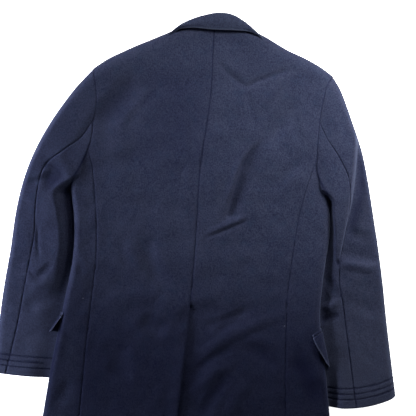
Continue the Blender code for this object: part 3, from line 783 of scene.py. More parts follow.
@dataclass
class Panel:
    """One cut piece: its outer face as a grid, with a wall of cloth inside it.

    Attributes:
        node: the CAD node that it stands for.
        face: grid of points in mm, rows by columns.
        out: outward directions at the points.
        foot: rim of the first row.
        head: rim of the last row.
        start: rim of the first column.
        end: rim of the last column.
        flip: whether the grid is seen from its other side.
        wall: thickness of the cloth.
        shade: painted shade at the points, up to 1; painted light where this is negative.
        grain: heading of the nap, in degrees from the coat's length.
    """

    node: str
    face: Array
    out: Array
    foot: Rim = Rim.FREE
    head: Rim = Rim.SEAM
    start: Rim = Rim.SEAM
    end: Rim = Rim.SEAM
    flip: bool = False
    wall: float = CLOTH
    shade: Array | None = None
    grain: float = 0.0

    def distances(self) -> tuple[Array, Array, Array, Array]:
        """How far each point is from the edges.

        Returns:
            Distances from the first and last row and from the first and last column.
        """
        rows = np.linalg.norm(np.diff(self.face, axis=0), axis=-1)
        columns = np.linalg.norm(np.diff(self.face, axis=1), axis=-1)
        up = np.concatenate([np.zeros((1, rows.shape[1])), np.cumsum(rows, axis=0)])
        across = np.concatenate([np.zeros((columns.shape[0], 1)), np.cumsum(columns, axis=1)], axis=1)
        return up, up[-1:] - up, across, across[:, -1:] - across

    def dent(self, depth: Array) -> None:
        """Moves the face inward by a depth at each point."""
        self.face = self.face - self.out * depth[..., None]

    def walls(self) -> tuple[Array, Array, Array]:
        """Both faces of the cloth, with the rims turned.

        Returns:
            The outer grid, the inner grid, and the painted shade of the points.
        """
        dips, pinches, shade = (np.zeros(self.face.shape[:2]) for _ in range(3))
        if self.shade is not None:
            shade = self.shade
        pucker = PUCKER.at(self.face[..., 0], self.face[..., 1])
        for rim, distance in zip((self.foot, self.head, self.start, self.end), self.distances()):
            shape = RIM_SHAPES[rim]
            turn = np.clip(1 - distance / shape.reach, 0, 1) ** 2
            gather = np.clip(1 + shape.uneven * pucker, PUCKER_LEAST, PUCKER_MOST)
            dips = np.maximum(dips, shape.dip * turn * gather)
            pinches = np.maximum(pinches, shape.pinch * turn)
            if shape.shade:
                shade = between(shade, shape.shade, np.clip(1 - distance / shape.fade, 0, 1))
        level = np.abs(self.out[..., 2])
        inner = self.face - self.out * (self.wall - pinches)[..., None]
        return self.face - self.out * (dips * level)[..., None], inner, shade

    def build(self, shift: Array) -> bpy.types.Object:
        """Makes the closed mesh.

        Args:
            shift: what takes plan places into the frame, in mm.

        Returns:
            The new object, in the row frame.
        """
        outer, inner, shade = self.walls()
        rows, columns = outer.shape[:2]
        count = rows * columns
        index = np.arange(count).reshape(rows, columns)
        top = np.stack([index[:-1, :-1], index[:-1, 1:], index[1:, 1:], index[1:, :-1]], -1).reshape(-1, 4)
        rim = np.concatenate([index[0, :-1], index[:-1, -1], index[-1, :0:-1], index[:0:-1, 0]])
        ahead = np.roll(rim, -1)
        edge = np.stack([ahead, rim, rim + count, ahead + count], -1)
        quads = np.concatenate([top, top[:, ::-1] + count, edge])
        if self.flip:
            quads = quads[:, ::-1]
        points = (np.concatenate([outer.reshape(-1, 3), inner.reshape(-1, 3)]) + shift) * MM
        name = f"wool_{self.node}"
        mesh = bpy.data.meshes.new(name)
        mesh.from_pydata(points.tolist(), [], quads.tolist())
        layer = mesh.attributes.new("shade", "FLOAT", "POINT")
        layer.data.foreach_set("value", np.tile(shade.reshape(-1), 2).astype(np.float32))
        mesh.shade_smooth()
        item = bpy.data.objects.new(name, mesh)
        bpy.context.scene.collection.objects.link(item)
        return item


def shading(creases: tuple[Crease, ...], face: Array) -> Array:
    """Painted shade and painted light of the creases.

    Args:
        creases: those of the piece; the underarm seams are added.
        face: grid of points.

    Returns:
        Shades at the points.
    """
    x, y = face[..., 0], face[..., 1]
    total = np.zeros(x.shape)
    for crease in creases + UNDERARMS:
        if crease.shade:
            total = stronger(total, crease.shade * crease.strength(x, y))
    return total


def joined(grids: list[tuple[Array, Array]]) -> tuple[Array, ...]:
    """Faces with their directions, put side by side."""
    return tuple(np.concatenate([grid[k] for grid in grids], 1) for k in (0, 1))


@dataclass(frozen=True)
class Torso:
    """Backs, sides, fronts and lapels.

    Attributes:
        body: the body's shape that they follow.
        centre_apex: y at the centre where the rows start to follow the armhole.
        vent_top: y where the left back starts to lap the right one.
    """

    body: Body
    centre_apex: float = 100.0
    vent_top: float = -194.0

    VENT_LAP, VENT_START = 45.0, 12.0
    VENT_DIP, VENT_FLAT, VENT_BLEND, VENT_RISE = 3.4, 32.0, 32.0, 22.0
    VENT_LIFT, VENT_LIFT_RUN, VENT_LIFT_REACH = 2.6, 170.0, 26.0
    VENT_CREVICE, CREVICE_REACH, CREVICE_SHADE = 1.8, 7.0, 0.6
    FRONT_LAP, BREAK_Y = 25.0, -60.0
    LAP_ROOM = LAYER + 1.2
    LAPEL_WIDTH = Curve(((52, 4), (100, 36), (170, 70), (222, 86), (262, 52), (300, 12)))
    BACK_WIDTH, BACK_LENGTH, SIDE_WIDTH, SIDE_LENGTH = 245.0, 690.0, 66.0, 660.0

    def plan(self, inner: PlanLine, outer: PlanLine, hole: tuple[Array, Array], apex: float, shares: Array,
             pitch: float) -> tuple[Array, Array]:
        """Plan grid of a back or front, in rows from the hem to the shoulder.

        Args:
            inner: x(y) of the edge at the centre.
            outer: x(y) of the seam below the armhole.
            hole: points up the armhole, above the apex.
            apex: the armhole's y at that seam.
            shares: places of the columns, from inner to outer.
            pitch: spacing of the rows.

        Returns:
            Grids of x and y.
        """
        hole_x, hole_y = hole
        marked = (hole_y - apex) / (hole_y[-1] - apex)
        rows = spread(self.BACK_LENGTH, pitch)
        xs, ys = [], []
        for share in shares:
            def column(y: Places, share: float = share) -> Places:
                """The column's x over y."""
                return between(inner(y), outer(y), share)

            bottom = self.body.foot(column)
            start = between(self.centre_apex, apex, share)
            low = bottom + (start - bottom) * rows
            goal = start
            for _ in range(SOLVE_STEPS):
                goal = self.body.shoulder.at(between(inner(goal), hole_x[-1], share))
            high = start + (goal - start) * marked
            xs.append(np.concatenate([column(low), between(inner(high), hole_x, share)]))
            ys.append(np.concatenate([low, high]))
        return np.array(xs).T, np.array(ys).T

    def hole_marks(self, half: Half, apex: float, pitch: float) -> Array:
        """Shares of an armhole from its apex up to the shoulder."""
        low, high = half.hole_span
        return apex * from_fold((high - low) * apex, self.body.SHOULDER_ROLL, pitch)[::-1][1:]

    def shade(self, face: Array) -> Array:
        """Painted shade towards the hem and the creases' painted shade or light, at a face's points."""
        return 1 - (1 - self.body.lay.at(face[..., 1])) * (1 - shading(BACK_CREASES, face))

    def back(self, half: Half) -> Panel:
        """A back panel, with its part of the vent.

        Args:
            half: the piece's half.

        Returns:
            The panel.
        """
        hole = half.hole(self.hole_marks(half, half.back_apex, PITCH))
        apex = float(half.hole(half.back_apex)[1])
        shares = spread(self.BACK_WIDTH, PITCH)
        xs, ys = self.plan(self.body.centre.at, half.back_seam, hole, apex, shares, PITCH)
        xs = xs + half.sign * HALF_GAP * (1 - 2 * shares)
        down = self.vent_top - ys
        if half is RIGHT:
            xs = xs - self.VENT_LAP * ease(down / self.VENT_START) * (1 - shares) ** 2
        face, out = self.body.face(half, xs, ys, True)
        shade = self.shade(face)
        offset = xs - self.body.centre.at(ys)
        opening = ease(down / self.VENT_LIFT_RUN) * (down > 0)
        if half is RIGHT:
            beside = ease((self.VENT_FLAT + self.VENT_BLEND - offset) / self.VENT_BLEND)
            face[..., 2] -= self.VENT_DIP * beside * ease((down + self.VENT_RISE) / self.VENT_BLEND)
            # The crevice along the vent dips and gets painted shade
            crevice = np.clip(1 - np.abs(offset) / self.CREVICE_REACH, 0, 1) * opening
            face[..., 2] -= self.VENT_CREVICE * crevice
            shade = np.maximum(shade, self.CREVICE_SHADE * crevice)
        else:
            face[..., 2] += self.VENT_LIFT * opening * (1 - ease(np.abs(offset) / self.VENT_LIFT_REACH))
        return Panel(f"back_{half.name}", face, out, flip=half is LEFT, shade=shade)

    def side(self, half: Half) -> Panel:
        """A side panel, from the side-back seam round the fold to the front seam.

        Args:
            half: the piece's half.

        Returns:
            The panel.
        """
        apex = half.back_apex
        top = 1 - (1 - apex) * from_fold(self.SIDE_WIDTH, self.body.SIDE_ROLL, PITCH)[::-1]
        low = 1 - (1 - half.FRONT_APEX) * from_fold(self.SIDE_WIDTH, self.body.SIDE_ROLL, UNDER_PITCH)[1:]
        rows = spread(self.SIDE_LENGTH, PITCH)
        grids = []
        for shares, hole, seam, on_top in (
            (top, half.hole, half.back_seam, True),
            (low, half.front_hole, half.front_seam, False),
        ):
            xs, ys = [], []
            for share in shares:
                end_x, end_y = (float(v) for v in hole(share))
                at = float(seam(end_y))
                part = (float(half.edge.at(end_y)) - end_x) / (float(half.edge.at(end_y)) - at)
                part = 0.0 if share > 1 - NEAR else part

                def column(y: Places, part: float = part) -> Places:
                    """The column's x over y."""
                    return between(half.edge.at(y), seam(y), part)

                bottom = self.body.foot(column)
                y = bottom + (end_y - bottom) * rows
                xs.append(column(y) + half.sign * HALF_GAP * part)
                ys.append(y - HALF_GAP * rows)
            grids.append(self.body.face(half, np.array(xs).T, np.array(ys).T, on_top))
        face, out = joined(grids)
        return Panel(f"side_{half.name}", face, out, flip=half is LEFT, shade=self.shade(face))

    def front_edge(self, half: Half, y: Places) -> Array:
        """Centre front below the break of the lapel, the lapel's roll line above it.

        Args:
            half: the piece's half.
            y: plan places along.

        Returns:
            Its x there.
        """
        middle = (LEFT.edge.at(y) + RIGHT.edge.at(y)) / 2 - half.sign * self.FRONT_LAP
        start = (LEFT.edge.at(self.BREAK_Y) + RIGHT.edge.at(self.BREAK_Y)) / 2 - half.sign * self.FRONT_LAP
        rise = np.clip((y - self.BREAK_Y) / (half.roll_top[1] - self.BREAK_Y), 0, 1)
        return np.where(y < self.BREAK_Y, middle, start + (half.roll_top[0] - start) * rise)

    def front_steps(self, half: Half, x: Array, y: Array) -> Array:
        """Room under a front for the layers that lie beneath it.

        Args:
            half: the piece's half.
            x: plan places across.
            y: plan places along.

        Returns:
            Heights in mm.
        """
        body, first = self.body, self.LAPEL_WIDTH.knots[0][0]
        inward = (x - self.front_edge(half, y)) * half.sign
        reach = body.STEP_MARGIN + body.STEP_BLEND
        lapel = ease((self.LAPEL_WIDTH.at(y) + reach - inward) / body.STEP_BLEND)
        lapel = lapel * ease((y - first + reach) / body.STEP_BLEND)
        if half is LEFT:
            return LAYER * lapel
        lap = ease((2 * self.FRONT_LAP + reach - inward) / body.STEP_BLEND)
        return LAYER * lapel + self.LAP_ROOM * lap * ease((first + reach - y) / body.STEP_BLEND)

    def front(self, half: Half) -> Panel:
        """A front, face down.

        Args:
            half: the piece's half.

        Returns:
            The panel.
        """
        hole = half.front_hole(self.hole_marks(half, half.FRONT_APEX, UNDER_PITCH))
        apex = float(half.front_hole(half.FRONT_APEX)[1])
        shares = spread(self.BACK_WIDTH, UNDER_PITCH)
        edge = partial(self.front_edge, half)
        xs, ys = self.plan(edge, half.front_seam, hole, apex, shares, UNDER_PITCH)
        xs = xs - half.sign * HALF_GAP * shares
        face, out = self.body.face(half, xs, ys, False)
        over, _ = self.body.shoulder_turn(xs, ys)
        face[..., 2] += self.front_steps(half, xs, ys) * (1 - over)
        return Panel(f"front_{half.name}", face, out, start=Rim.FREE, flip=half is RIGHT)

    def lapel(self, half: Half) -> Panel:
        """A lapel, turned back under its front.

        Args:
            half: the piece's half.

        Returns:
            The panel.
        """
        first, last = self.LAPEL_WIDTH.knots[0][0], self.LAPEL_WIDTH.knots[-1][0]
        ys = between(first, last, spread(last - first, UNDER_PITCH))[:, None]
        widest = max(width for _, width in self.LAPEL_WIDTH.knots)
        xs = self.front_edge(half, ys) + half.sign * (
            GAP + spread(widest, UNDER_PITCH)[None, :] * self.LAPEL_WIDTH.at(ys)
        )
        face = np.stack([xs, ys + 0 * xs, 0 * xs], -1)
        out = np.zeros_like(face)
        out[..., 2] = -1
        return Panel(
            f"lapel_{half.name}", face, out, head=Rim.FREE, start=Rim.PLAIN, end=Rim.FREE, flip=half is RIGHT
        )

    def panels(self) -> Iterator[Panel]:
        """Every piece of the torso."""
        for half in HALVES:
            yield from (self.back(half), self.side(half), self.front(half), self.lapel(half))


@dataclass(frozen=True)
class Sleeves:
    """Two-piece sleeves with rows of stitching at the cuffs.

    Attributes:
        body: the body's shape that they join.
        rows: how far the stitched rows are from the cuff's rim.
        row_depth: depth of a row.
        row_reach: half of a row's width.
        lay: painted light that makes the sleeves paler towards the cuffs, over y.
        ripple: unevenness of the sleeves.
    """

    body: Body
    rows: tuple[float, ...] = (17.5, 28.0, 39.0)
    row_depth: float = 1.5
    row_reach: float = 2.0
    # Painted light: the sleeves are drawn paler towards the cuffs
    lay: Curve = Curve(((-340, -0.17), (-260, -0.11), (-180, -0.04), (-100, 0.0)))
    ripple: Ripple = Ripple(19, (24.0, 90.0), 0.5)

    TUCK_CLEAR, SHELF, INNER_ROLL, MID_SHARE = 1.5, 1.0, 4.5, 0.4
    CLIMB, CLIMB_RUN, CLIMB_DROP = 90.0, 70.0, 10.0
    FRONT_SEAM = 0.62
    STITCH, STITCH_SHARE, ROW_SHADE = 4.5, 0.35, 0.5
    STATION, CUFF_RUN, CUFF_PITCH = 64.0, 46.0, 1.3
    TOP_WIDTH, UNDER_WIDTH, SEAM_WIDTH = 62.0, 100.0, 150.0
    BOW_RUN, BOW_ROUND, ROW_ROUND = 1.2, 0.6, 1.2
    # Reach of the painted shade beside the side fold, and its fade near the underarm
    DUSK_REACH, DUSK_RISE, DUSK_RUN = 30.0, 20.0, 30.0
    GRAIN = {"left": -14.0, "right": 8.0}

    def value(self, half: Half, name: str, station: Array) -> Array:
        """A column of the sleeve's table between its rows."""
        column = (getattr(row, name) for row in half.stations)
        return Curve(tuple(enumerate(column))).at(station)

    def face(self, half: Half, station: Array, share: Array, top: bool) -> tuple[Array, Array]:
        """Points and outward directions, share 0 at the outer fold and 1 at the inner one.

        Args:
            half: the sleeve's half.
            station: places down the sleeve, as a column.
            share: places across it.
            top: whether it is the upper face.

        Returns:
            Points and unit directions.
        """
        fade = np.clip(self.value(half, "fade", station), 0, 1)
        outer = np.stack([self.value(half, "outer_x", station), self.value(half, "outer_y", station)], -1)
        inner_y = self.value(half, "inner_y", station)
        inner_x = half.edge.at(inner_y) - half.sign * self.value(half, "tuck", station)
        chord = np.stack([inner_x, inner_y], -1) - outer
        width = np.linalg.norm(chord, axis=-1)
        hole_x, hole_y = (half.hole if top else half.front_hole)(share)
        first = np.array(half.stations[0][:2], float)
        last = np.array([float(v) for v in half.hole(1.0)])
        bow = np.stack([hole_x, hole_y], -1) - (first + share[..., None] * (last - first))
        plan = outer + share[..., None] * chord + fade[..., None] * bow
        cuff = ease((station - len(half.stations) + 1 + self.BOW_RUN) / self.BOW_RUN)
        x = plan[..., 0] + half.sign * HALF_GAP
        y = plan[..., 1] - half.cuff_bow * cuff * np.sin(np.pi * np.clip(share, 0, 1)) ** self.BOW_ROUND
        join, _ = self.body.face(half, hole_x, hole_y, top)
        crown = self.value(half, "crown", station)
        climb = self.CLIMB * ease((y - half.hole_span[0] + self.CLIMB_DROP) / self.CLIMB_RUN)
        beside = ease(((x - half.edge.at(y)) * half.sign - self.SHELF + climb) / half.valley.at(y))
        low = np.maximum(2 * LAYER, self.body.lift.at(y) - self.TUCK_CLEAR)
        high = low + (crown - low) * beside
        middle = np.where(share < 0.5, crown * self.MID_SHARE, low / 2)
        reach = np.where(share < 0.5, self.body.SIDE_ROLL, self.INNER_ROLL)
        turned = 1 - np.clip(np.minimum(share, 1 - share) * width / reach, 0, 1)
        folds = sum(c.depth * c.strength(x, y) for c in SLEEVE_CREASES)
        folds = (folds - self.ripple.at(x, y) * beside) * (1 - fade)
        flat = np.maximum(high - folds, 2 * LAYER) if top else 0
        tube = middle + (flat - middle) * np.sqrt(1 - turned**2)
        z = fade * join[..., 2] + (1 - fade) * tube
        away = chord / width[..., None] * np.where(share < 0.5, -1, 1)[..., None]
        up = np.sqrt(1 - turned**2) * (1 if top else -1)
        out = np.concatenate([away * turned[..., None], up[..., None]], -1)
        return np.stack([x, y, z], -1), out / np.linalg.norm(out, axis=-1, keepdims=True)

    def stations(self, half: Half) -> Array:
        """Places of the rows, closer beside the armhole and down the cuff.

        Args:
            half: the piece's half.

        Returns:
            A column of stations.
        """
        last = len(half.stations) - 1
        cuff = (last * self.STATION - self.CUFF_RUN) / self.STATION
        fine = np.linspace(cuff, last, round(self.CUFF_RUN / self.CUFF_PITCH) + 1)
        rest = spread(cuff * self.STATION, PITCH)
        rest = rest[rest < 1 - SEAM_LINES[-1] / (cuff * self.STATION)] * cuff
        return np.concatenate([rest, fine])[:, None]

    def stitched(self, panel: Panel) -> Panel:
        """Presses the rows of stitching into a panel, with painted shade in them.

        Args:
            panel: a sleeve's piece.

        Returns:
            The same panel.
        """
        _, to_rim, across, _ = panel.distances()
        stitch = 1 - self.STITCH_SHARE * (0.5 + 0.5 * np.cos(2 * np.pi * across / self.STITCH))
        depth = np.zeros(to_rim.shape)
        for row in self.rows:
            depth += np.clip(1 - np.abs(to_rim - row) / self.row_reach, 0, 1) ** self.ROW_ROUND
        panel.dent(self.row_depth * depth * stitch)
        panel.shade = stronger(panel.shade, self.ROW_SHADE * depth)
        return panel

    def shade(self, half: Half, face: Array) -> Array:
        """Painted shade in the valley beside the body and in the creases, painted light towards the cuffs.

        Args:
            half: the piece's half.
            face: grid of points.

        Returns:
            Shades at the points.
        """
        x, y = face[..., 0], face[..., 1]
        out = (x - half.edge.at(y)) * half.sign
        wide = np.minimum(half.valley.at(y), self.DUSK_REACH)
        valley = (1 - ease(out / wide)) * ease((half.hole_span[0] + self.DUSK_RISE - y) / self.DUSK_RUN)
        return stronger(self.lay.at(y), stronger(half.dusk.at(y) * valley, shading(SLEEVE_CREASES, face)))

    def piece(self, half: Half, upper: bool) -> Panel:
        """The top sleeve, which lies round the outer fold, or the under sleeve, round the inner one.

        Args:
            half: the sleeve's half.
            upper: whether it is the top sleeve.

        Returns:
            The panel.
        """
        station = self.stations(half)
        seam = self.value(half, "seam", station)
        roll = self.body.SIDE_ROLL if upper else self.INNER_ROLL
        run = self.TOP_WIDTH if upper else self.UNDER_WIDTH
        over = from_fold(run, roll, PITCH)[::-1][None, :]
        under = from_fold(self.UNDER_WIDTH, roll, UNDER_PITCH)[1:][None, :]
        edge = HALF_GAP / self.SEAM_WIDTH
        if upper:
            shares = (over * (seam - edge), under * (self.FRONT_SEAM - edge) + 0 * seam)
        else:
            shares = (1 - over * (1 - seam - edge), 1 - under * (1 - self.FRONT_SEAM - edge) + 0 * seam)
        grids = [self.face(half, station, share, top) for share, top in zip(shares, (True, False))]
        face, out = joined(grids)
        name = ("top_sleeve_" if upper else "under_sleeve_") + half.name
        panel = Panel(
            name,
            face,
            out,
            foot=Rim.SEAM,
            head=Rim.FREE,
            flip=(half is RIGHT) == upper,
            shade=self.shade(half, face),
            grain=self.GRAIN[half.name],
        )
        return self.stitched(panel)

    def panels(self) -> Iterator[Panel]:
        """Both pieces of both sleeves."""
        for half in HALVES:
            yield from (self.piece(half, True), self.piece(half, False))


def grid_out(face: Array) -> Array:
    """Directions across a grid, from its own neighbours."""
    out = np.cross(np.gradient(face, axis=1), np.gradient(face, axis=0))
    return out / np.linalg.norm(out, axis=-1, keepdims=True)


@dataclass(frozen=True)
class Collar:
    """The turned-down leaf and the stand inside it.

    Attributes:
        body: the body's shape that it stands on.
        sweep: how far round the neck the leaf goes each way, in degrees.
        reach: half of the leaf's width.
        fold_line: the fold, y over x.
        fold_level: z of the fold's ends, and its rise to the middle.
        edge_line: the leaf's edge, y over x.
    """

    body: Body
    sweep: float = 90.0
    reach: float = 93.0
    fold_line: Curve = Curve(((-79, 337.5), (-60, 349), (-39, 360.5), (-6, 370.5), (23, 374.5), (48.6, 371),
                              (70, 359.5), (93, 342), (107, 331.5)))
    fold_level: Pair = (25.0, 23.5)
    edge_line: Curve = Curve(((-79, 336.5), (-69, 341), (-50, 347), (-35, 348), (14, 344.5), (57, 343),
                              (87, 339), (103, 331.5), (107, 329.5)))

    EDGE_CLEAR, END_CLEAR = 4.2, 1.2
    BULGE, BULGE_LEAN = 2.4, 0.3
    STAND_SWEEP, STAND_CLEAR, STAND_DROP = 82.0, 0.4, 3.8
    COLUMNS, LEAF_RUN, LEAF_PITCH, STAND_RUN = 132, 46.0, PITCH / 2, 30.0
    ROLL, ROLL_STEPS = 3.2, 9
    PICK_AT, PICK_REACH, PICK_DEPTH, PICK_STEP = 3.8, 1.6, 0.7, 6.2

    def columns(self, sweep: float) -> Array:
        """Turns of the columns round the neck, in radians."""
        return np.radians(np.linspace(-sweep, sweep, self.COLUMNS + 1))

    def across(self, turn: Array) -> Array:
        """The columns' x."""
        return self.body.NECK_X + self.reach * np.sin(turn)

    def fold(self, turn: Array) -> Array:
        """Points of the fold.

        Args:
            turn: turns of the columns.

        Returns:
            A row of points.
        """
        x = self.across(turn)
        low, rise = self.fold_level
        return np.stack([x, self.fold_line.at(x), low + rise * np.cos(turn)], -1)

    def edge(self, turn: Array) -> Array:
        """Points of the leaf's edge.

        Args:
            turn: turns of the columns.

        Returns:
            A row of points.
        """
        x = self.across(turn)
        y = np.minimum(self.edge_line.at(x), self.body.shoulder.at(x))
        face, _ = self.body.face(LEFT, x, y, True)
        face[..., 2] += CLOTH + between(self.END_CLEAR, self.EDGE_CLEAR, np.sqrt(np.clip(np.cos(turn), 0, 1)))
        return face

    def seam(self, turn: Array) -> Array:
        """Points of the neck seam.

        Args:
            turn: turns of the columns.

        Returns:
            A row of points.
        """
        x = self.across(turn)
        y = self.body.shoulder.at(x)
        face, _ = self.body.face(LEFT, x, y, True)
        _, away = self.body.shoulder_turn(x, y)
        face[..., :2] += self.STAND_CLEAR * away
        return face - np.array([0, 0, self.STAND_DROP])

    def turned(self, turn: Array) -> Array:
        """Rows of points from the leaf's edge up and round the fold.

        Args:
            turn: turns of the columns.

        Returns:
            The grid of points.
        """
        low, high = self.edge(turn), self.fold(turn)
        rows = []
        for share in spread(self.LEAF_RUN, self.LEAF_PITCH):
            bulge = self.BULGE * np.sin(np.pi * share) * np.cos(turn)[:, None].clip(0)
            rows.append(low + share * (high - low) + np.array([0, self.BULGE_LEAN, 1.0]) * bulge)
        leaf = np.stack(rows)
        normal = grid_out(leaf)[-1]
        onward = leaf[-1] - leaf[-2]
        onward = onward / np.linalg.norm(onward, axis=-1, keepdims=True)
        roll = [
            leaf[-1] + self.ROLL * (np.sin(angle) * onward - (1 - np.cos(angle)) * normal)
            for angle in np.linspace(0, np.pi, self.ROLL_STEPS + 1)[1:]
        ]
        return np.concatenate([leaf, np.stack(roll)])

    def leaf(self) -> Panel:
        """The leaf, rolled over at the fold, with pick stitches and a painted highlight along its edge.

        Returns:
            The panel.
        """
        face = self.turned(self.columns(self.sweep))
        panel = Panel(
            "collar_fall", face, grid_out(face), foot=Rim.WORN, head=Rim.PLAIN, start=Rim.FREE, end=Rim.FREE
        )
        to_edge, _, across, _ = panel.distances()
        pick = 0.5 + 0.5 * np.cos(2 * np.pi * across[:1] / self.PICK_STEP)
        near = np.clip(1 - np.abs(to_edge - self.PICK_AT) / self.PICK_REACH, 0, 1)
        panel.dent(self.PICK_DEPTH * near * pick)
        return panel

    def stand(self) -> Panel:
        """The stand, from the neck seam up to where the fold ends.

        Returns:
            The panel.
        """
        turn = self.columns(self.STAND_SWEEP)
        low, high = self.seam(turn), self.turned(turn)[-1]
        face = np.stack([low + share * (high - low) for share in spread(self.STAND_RUN, PITCH)])
        plain = {"foot": Rim.PLAIN, "head": Rim.PLAIN, "start": Rim.FREE, "end": Rim.FREE}
        return Panel("collar_stand", face, -grid_out(face), flip=True, **plain)

    def panels(self) -> Iterator[Panel]:
        """Leaf and stand."""
        yield self.leaf()
        yield self.stand()


@dataclass(frozen=True)
class Pockets:
    """A flap and the welt above it at each hip.

    Attributes:
        body: the body's shape that they follow.
        clear: how far a flap stands off the cloth.
        welt_height: height of a welt.
        welt_wall: thickness of a welt.
    """

    body: Body
    clear: float = 1.2
    welt_height: float = 6.0
    welt_wall: float = 1.6

    WELT_CLEAR, UNDER_CLEAR = 0.8, 1.3
    HOLD, BEND, TIP = 12.0, 10.0, 0.25
    STEPS, RUN_PITCH, REAR_PITCH, REAR_LINES = 26, 3.0, 1.0, 3

    def run(self, rear: float) -> Array:
        """Places along a flap from its rear edge.

        Args:
            rear: how far it reaches round onto the back.

        Returns:
            Falling places, positive on top of the side fold and negative underneath.
        """
        roll = self.body.SIDE_ROLL * (1 - np.cos(np.linspace(0, np.pi / 2, ROLL_LINES + 1)))
        beyond = np.arange(roll[-1] + self.RUN_PITCH, self.body.FLAP_LENGTH, self.RUN_PITCH)
        under = -np.concatenate([roll, beyond])
        flat = np.arange(roll[-1], rear, self.REAR_PITCH)
        over = np.concatenate([roll[1:], flat[1:]])
        near = rear - np.array((0.0, *SEAM_LINES[: self.REAR_LINES]))
        over = over[over < near[-1]]
        return np.concatenate([near, over[::-1], under])

    def below(self, across: Array) -> Array:
        """How much farther off the cloth it lies underneath."""
        return self.UNDER_CLEAR * ease(-across / self.body.SIDE_ROLL)

    def wrap(self, half: Half, across: Array, y: Array, clear: Array) -> tuple[Array, Array]:
        """Points that follow the side fold.

        Args:
            half: the piece's half.
            across: places from the fold, negative underneath.
            y: plan places along.
            clear: how far off the cloth they are.

        Returns:
            Points and unit directions.
        """
        x = half.edge.at(y) - half.sign * np.abs(across)
        top, top_out = self.body.face(half, x, y, True)
        low, low_out = self.body.face(half, x, y, False)
        on_top = (across > 0)[..., None]
        out = np.where(on_top, top_out, low_out)
        return np.where(on_top, top, low) + out * clear[..., None], out

    def pocket(self, half: Half) -> tuple[Panel, Panel]:
        """The flap and the welt of one hip.

        Args:
            half: the piece's half.

        Returns:
            Both panels.
        """
        lie, height = half.flap, self.body.FLAP_HEIGHT
        run = self.run(lie.rear)[None, :]
        down = spread(height, height / self.STEPS)[:, None]
        near_rear = ease((run + self.HOLD) / (lie.rear + self.HOLD))
        across = run - lie.skew * height * down * near_rear
        hinge = lie.hinge_y + lie.slope * np.clip(run, -self.BEND, None)
        clear = self.clear + CLOTH + self.below(across) + lie.stand * np.sqrt(down) * near_rear
        drawn = lie.draw * ease((run + lie.hold) / (lie.rear + lie.hold))
        face, out = self.wrap(half, across, hinge - height * down * (1 - drawn), clear)
        swing = lie.swing * down * near_rear
        face[..., 0] += half.sign * swing
        face[..., 2] += self.TIP * swing
        # Painted shade, deeper towards the hem and over the flap's rear end
        shade = between(self.body.lay.at(face[..., 1]), lie.dusk, near_rear)
        # The flap's rear and lower edges get a painted highlight
        ends = {"start": Rim.WORN, "end": Rim.FREE, "flip": half is RIGHT}
        flap = Panel(f"pocket_flap_{half.name}", face, out, head=Rim.WORN, shade=shade, **ends)
        strip = np.array([self.welt_height + GAP, self.welt_height / 2, GAP])[:, None]
        across = run + 0 * strip
        clear = self.WELT_CLEAR + self.welt_wall + self.below(across)
        face, out = self.wrap(half, across, hinge + strip, clear)
        plain = {"foot": Rim.PLAIN, "head": Rim.PLAIN, "wall": self.welt_wall}
        # The welt has the same painted shade towards the hem
        shade = self.body.lay.at(face[..., 1])
        return flap, Panel(f"pocket_welt_{half.name}", face, out, shade=shade, **plain, **ends)

    def panels(self) -> Iterator[Panel]:
        """Flap and welt on both sides."""
        for half in HALVES:
            yield from self.pocket(half)


# Finishes


class Graph:
    """A shader's node tree, to which nodes are added by kind."""

    def __init__(self, tree: bpy.types.NodeTree) -> None:
        """Takes over a tree and empties it."""
        self.tree = tree
        tree.nodes.clear()

    def node(self, kind: str, settings: dict | None = None, **sockets: object) -> bpy.types.Node:
        """Adds a node.

        Args:
            kind: the node's type.
            settings: properties to set first.
            sockets: values or links of its inputs, with spaces as underscores; a number after "at" is an
                input's place.

        Returns:
            The new node.
        """
        made = self.tree.nodes.new(kind)
        for name, value in (settings or {}).items():
            setattr(made, name, value)
        for name, value in sockets.items():
            place = int(name[2:]) if name[:2] == "at" and name[2:].isdigit() else name.replace("_", " ")
            socket = made.inputs[place]
            if isinstance(value, Value):
                self.tree.links.new(value.socket, socket)
            elif isinstance(value, bpy.types.NodeSocket):
                self.tree.links.new(value, socket)
            else:
                socket.default_value = value
        return made

    def value(self, kind: str, output: str | int, settings: dict | None = None, **sockets: object) -> "Value":
        """Adds a node and wraps one of its outputs."""
        return Value(self, self.node(kind, settings, **sockets).outputs[output])

    def mix(self, share: "Value | float", low: object, high: object) -> "Value":
        """A mix of two colours."""
        return self.value("ShaderNodeMix", 2, {"data_type": "RGBA"}, at0=share, at6=low, at7=high)

    def surface(self, **sockets: object) -> None:
        """Ends the tree with a surface that has these sockets."""
        shader = self.node("ShaderNodeBsdfPrincipled", **sockets)
        self.node("ShaderNodeOutputMaterial", Surface=shader.outputs[0])


class Value:
    """A shader value: sums on it add nodes to its graph."""

    def __init__(self, graph: Graph, socket: bpy.types.NodeSocket) -> None:
        """Wraps an output socket of a graph's node."""
        self.graph = graph
        self.socket = socket

    def math(self, operation: str, *others: object) -> "Value":
        """A Math node on this value and others."""
        inputs = {f"at{k}": item for k, item in enumerate((self, *others))}
        return self.graph.value("ShaderNodeMath", 0, {"operation": operation}, **inputs)

    def __add__(self, other: object) -> "Value":
        """Sum."""
        return self.math("ADD", other)

    __radd__ = __add__

    def __mul__(self, other: object) -> "Value":
        """Product."""
        return self.math("MULTIPLY", other)

    __rmul__ = __mul__

    def __sub__(self, other: object) -> "Value":
        """Difference."""
        return self.math("SUBTRACT", other)

    def __rsub__(self, other: object) -> "Value":
        """Difference the other way round."""
        return (self * -1.0) + other

    def over(self, low: float, high: float) -> "Value":
        """A smooth step of this value from 0 at low to 1 at high."""
        smooth = {"interpolation_type": "SMOOTHSTEP"}
        return self.graph.value("ShaderNodeMapRange", 0, smooth, Value=self, From_Min=low, From_Max=high)


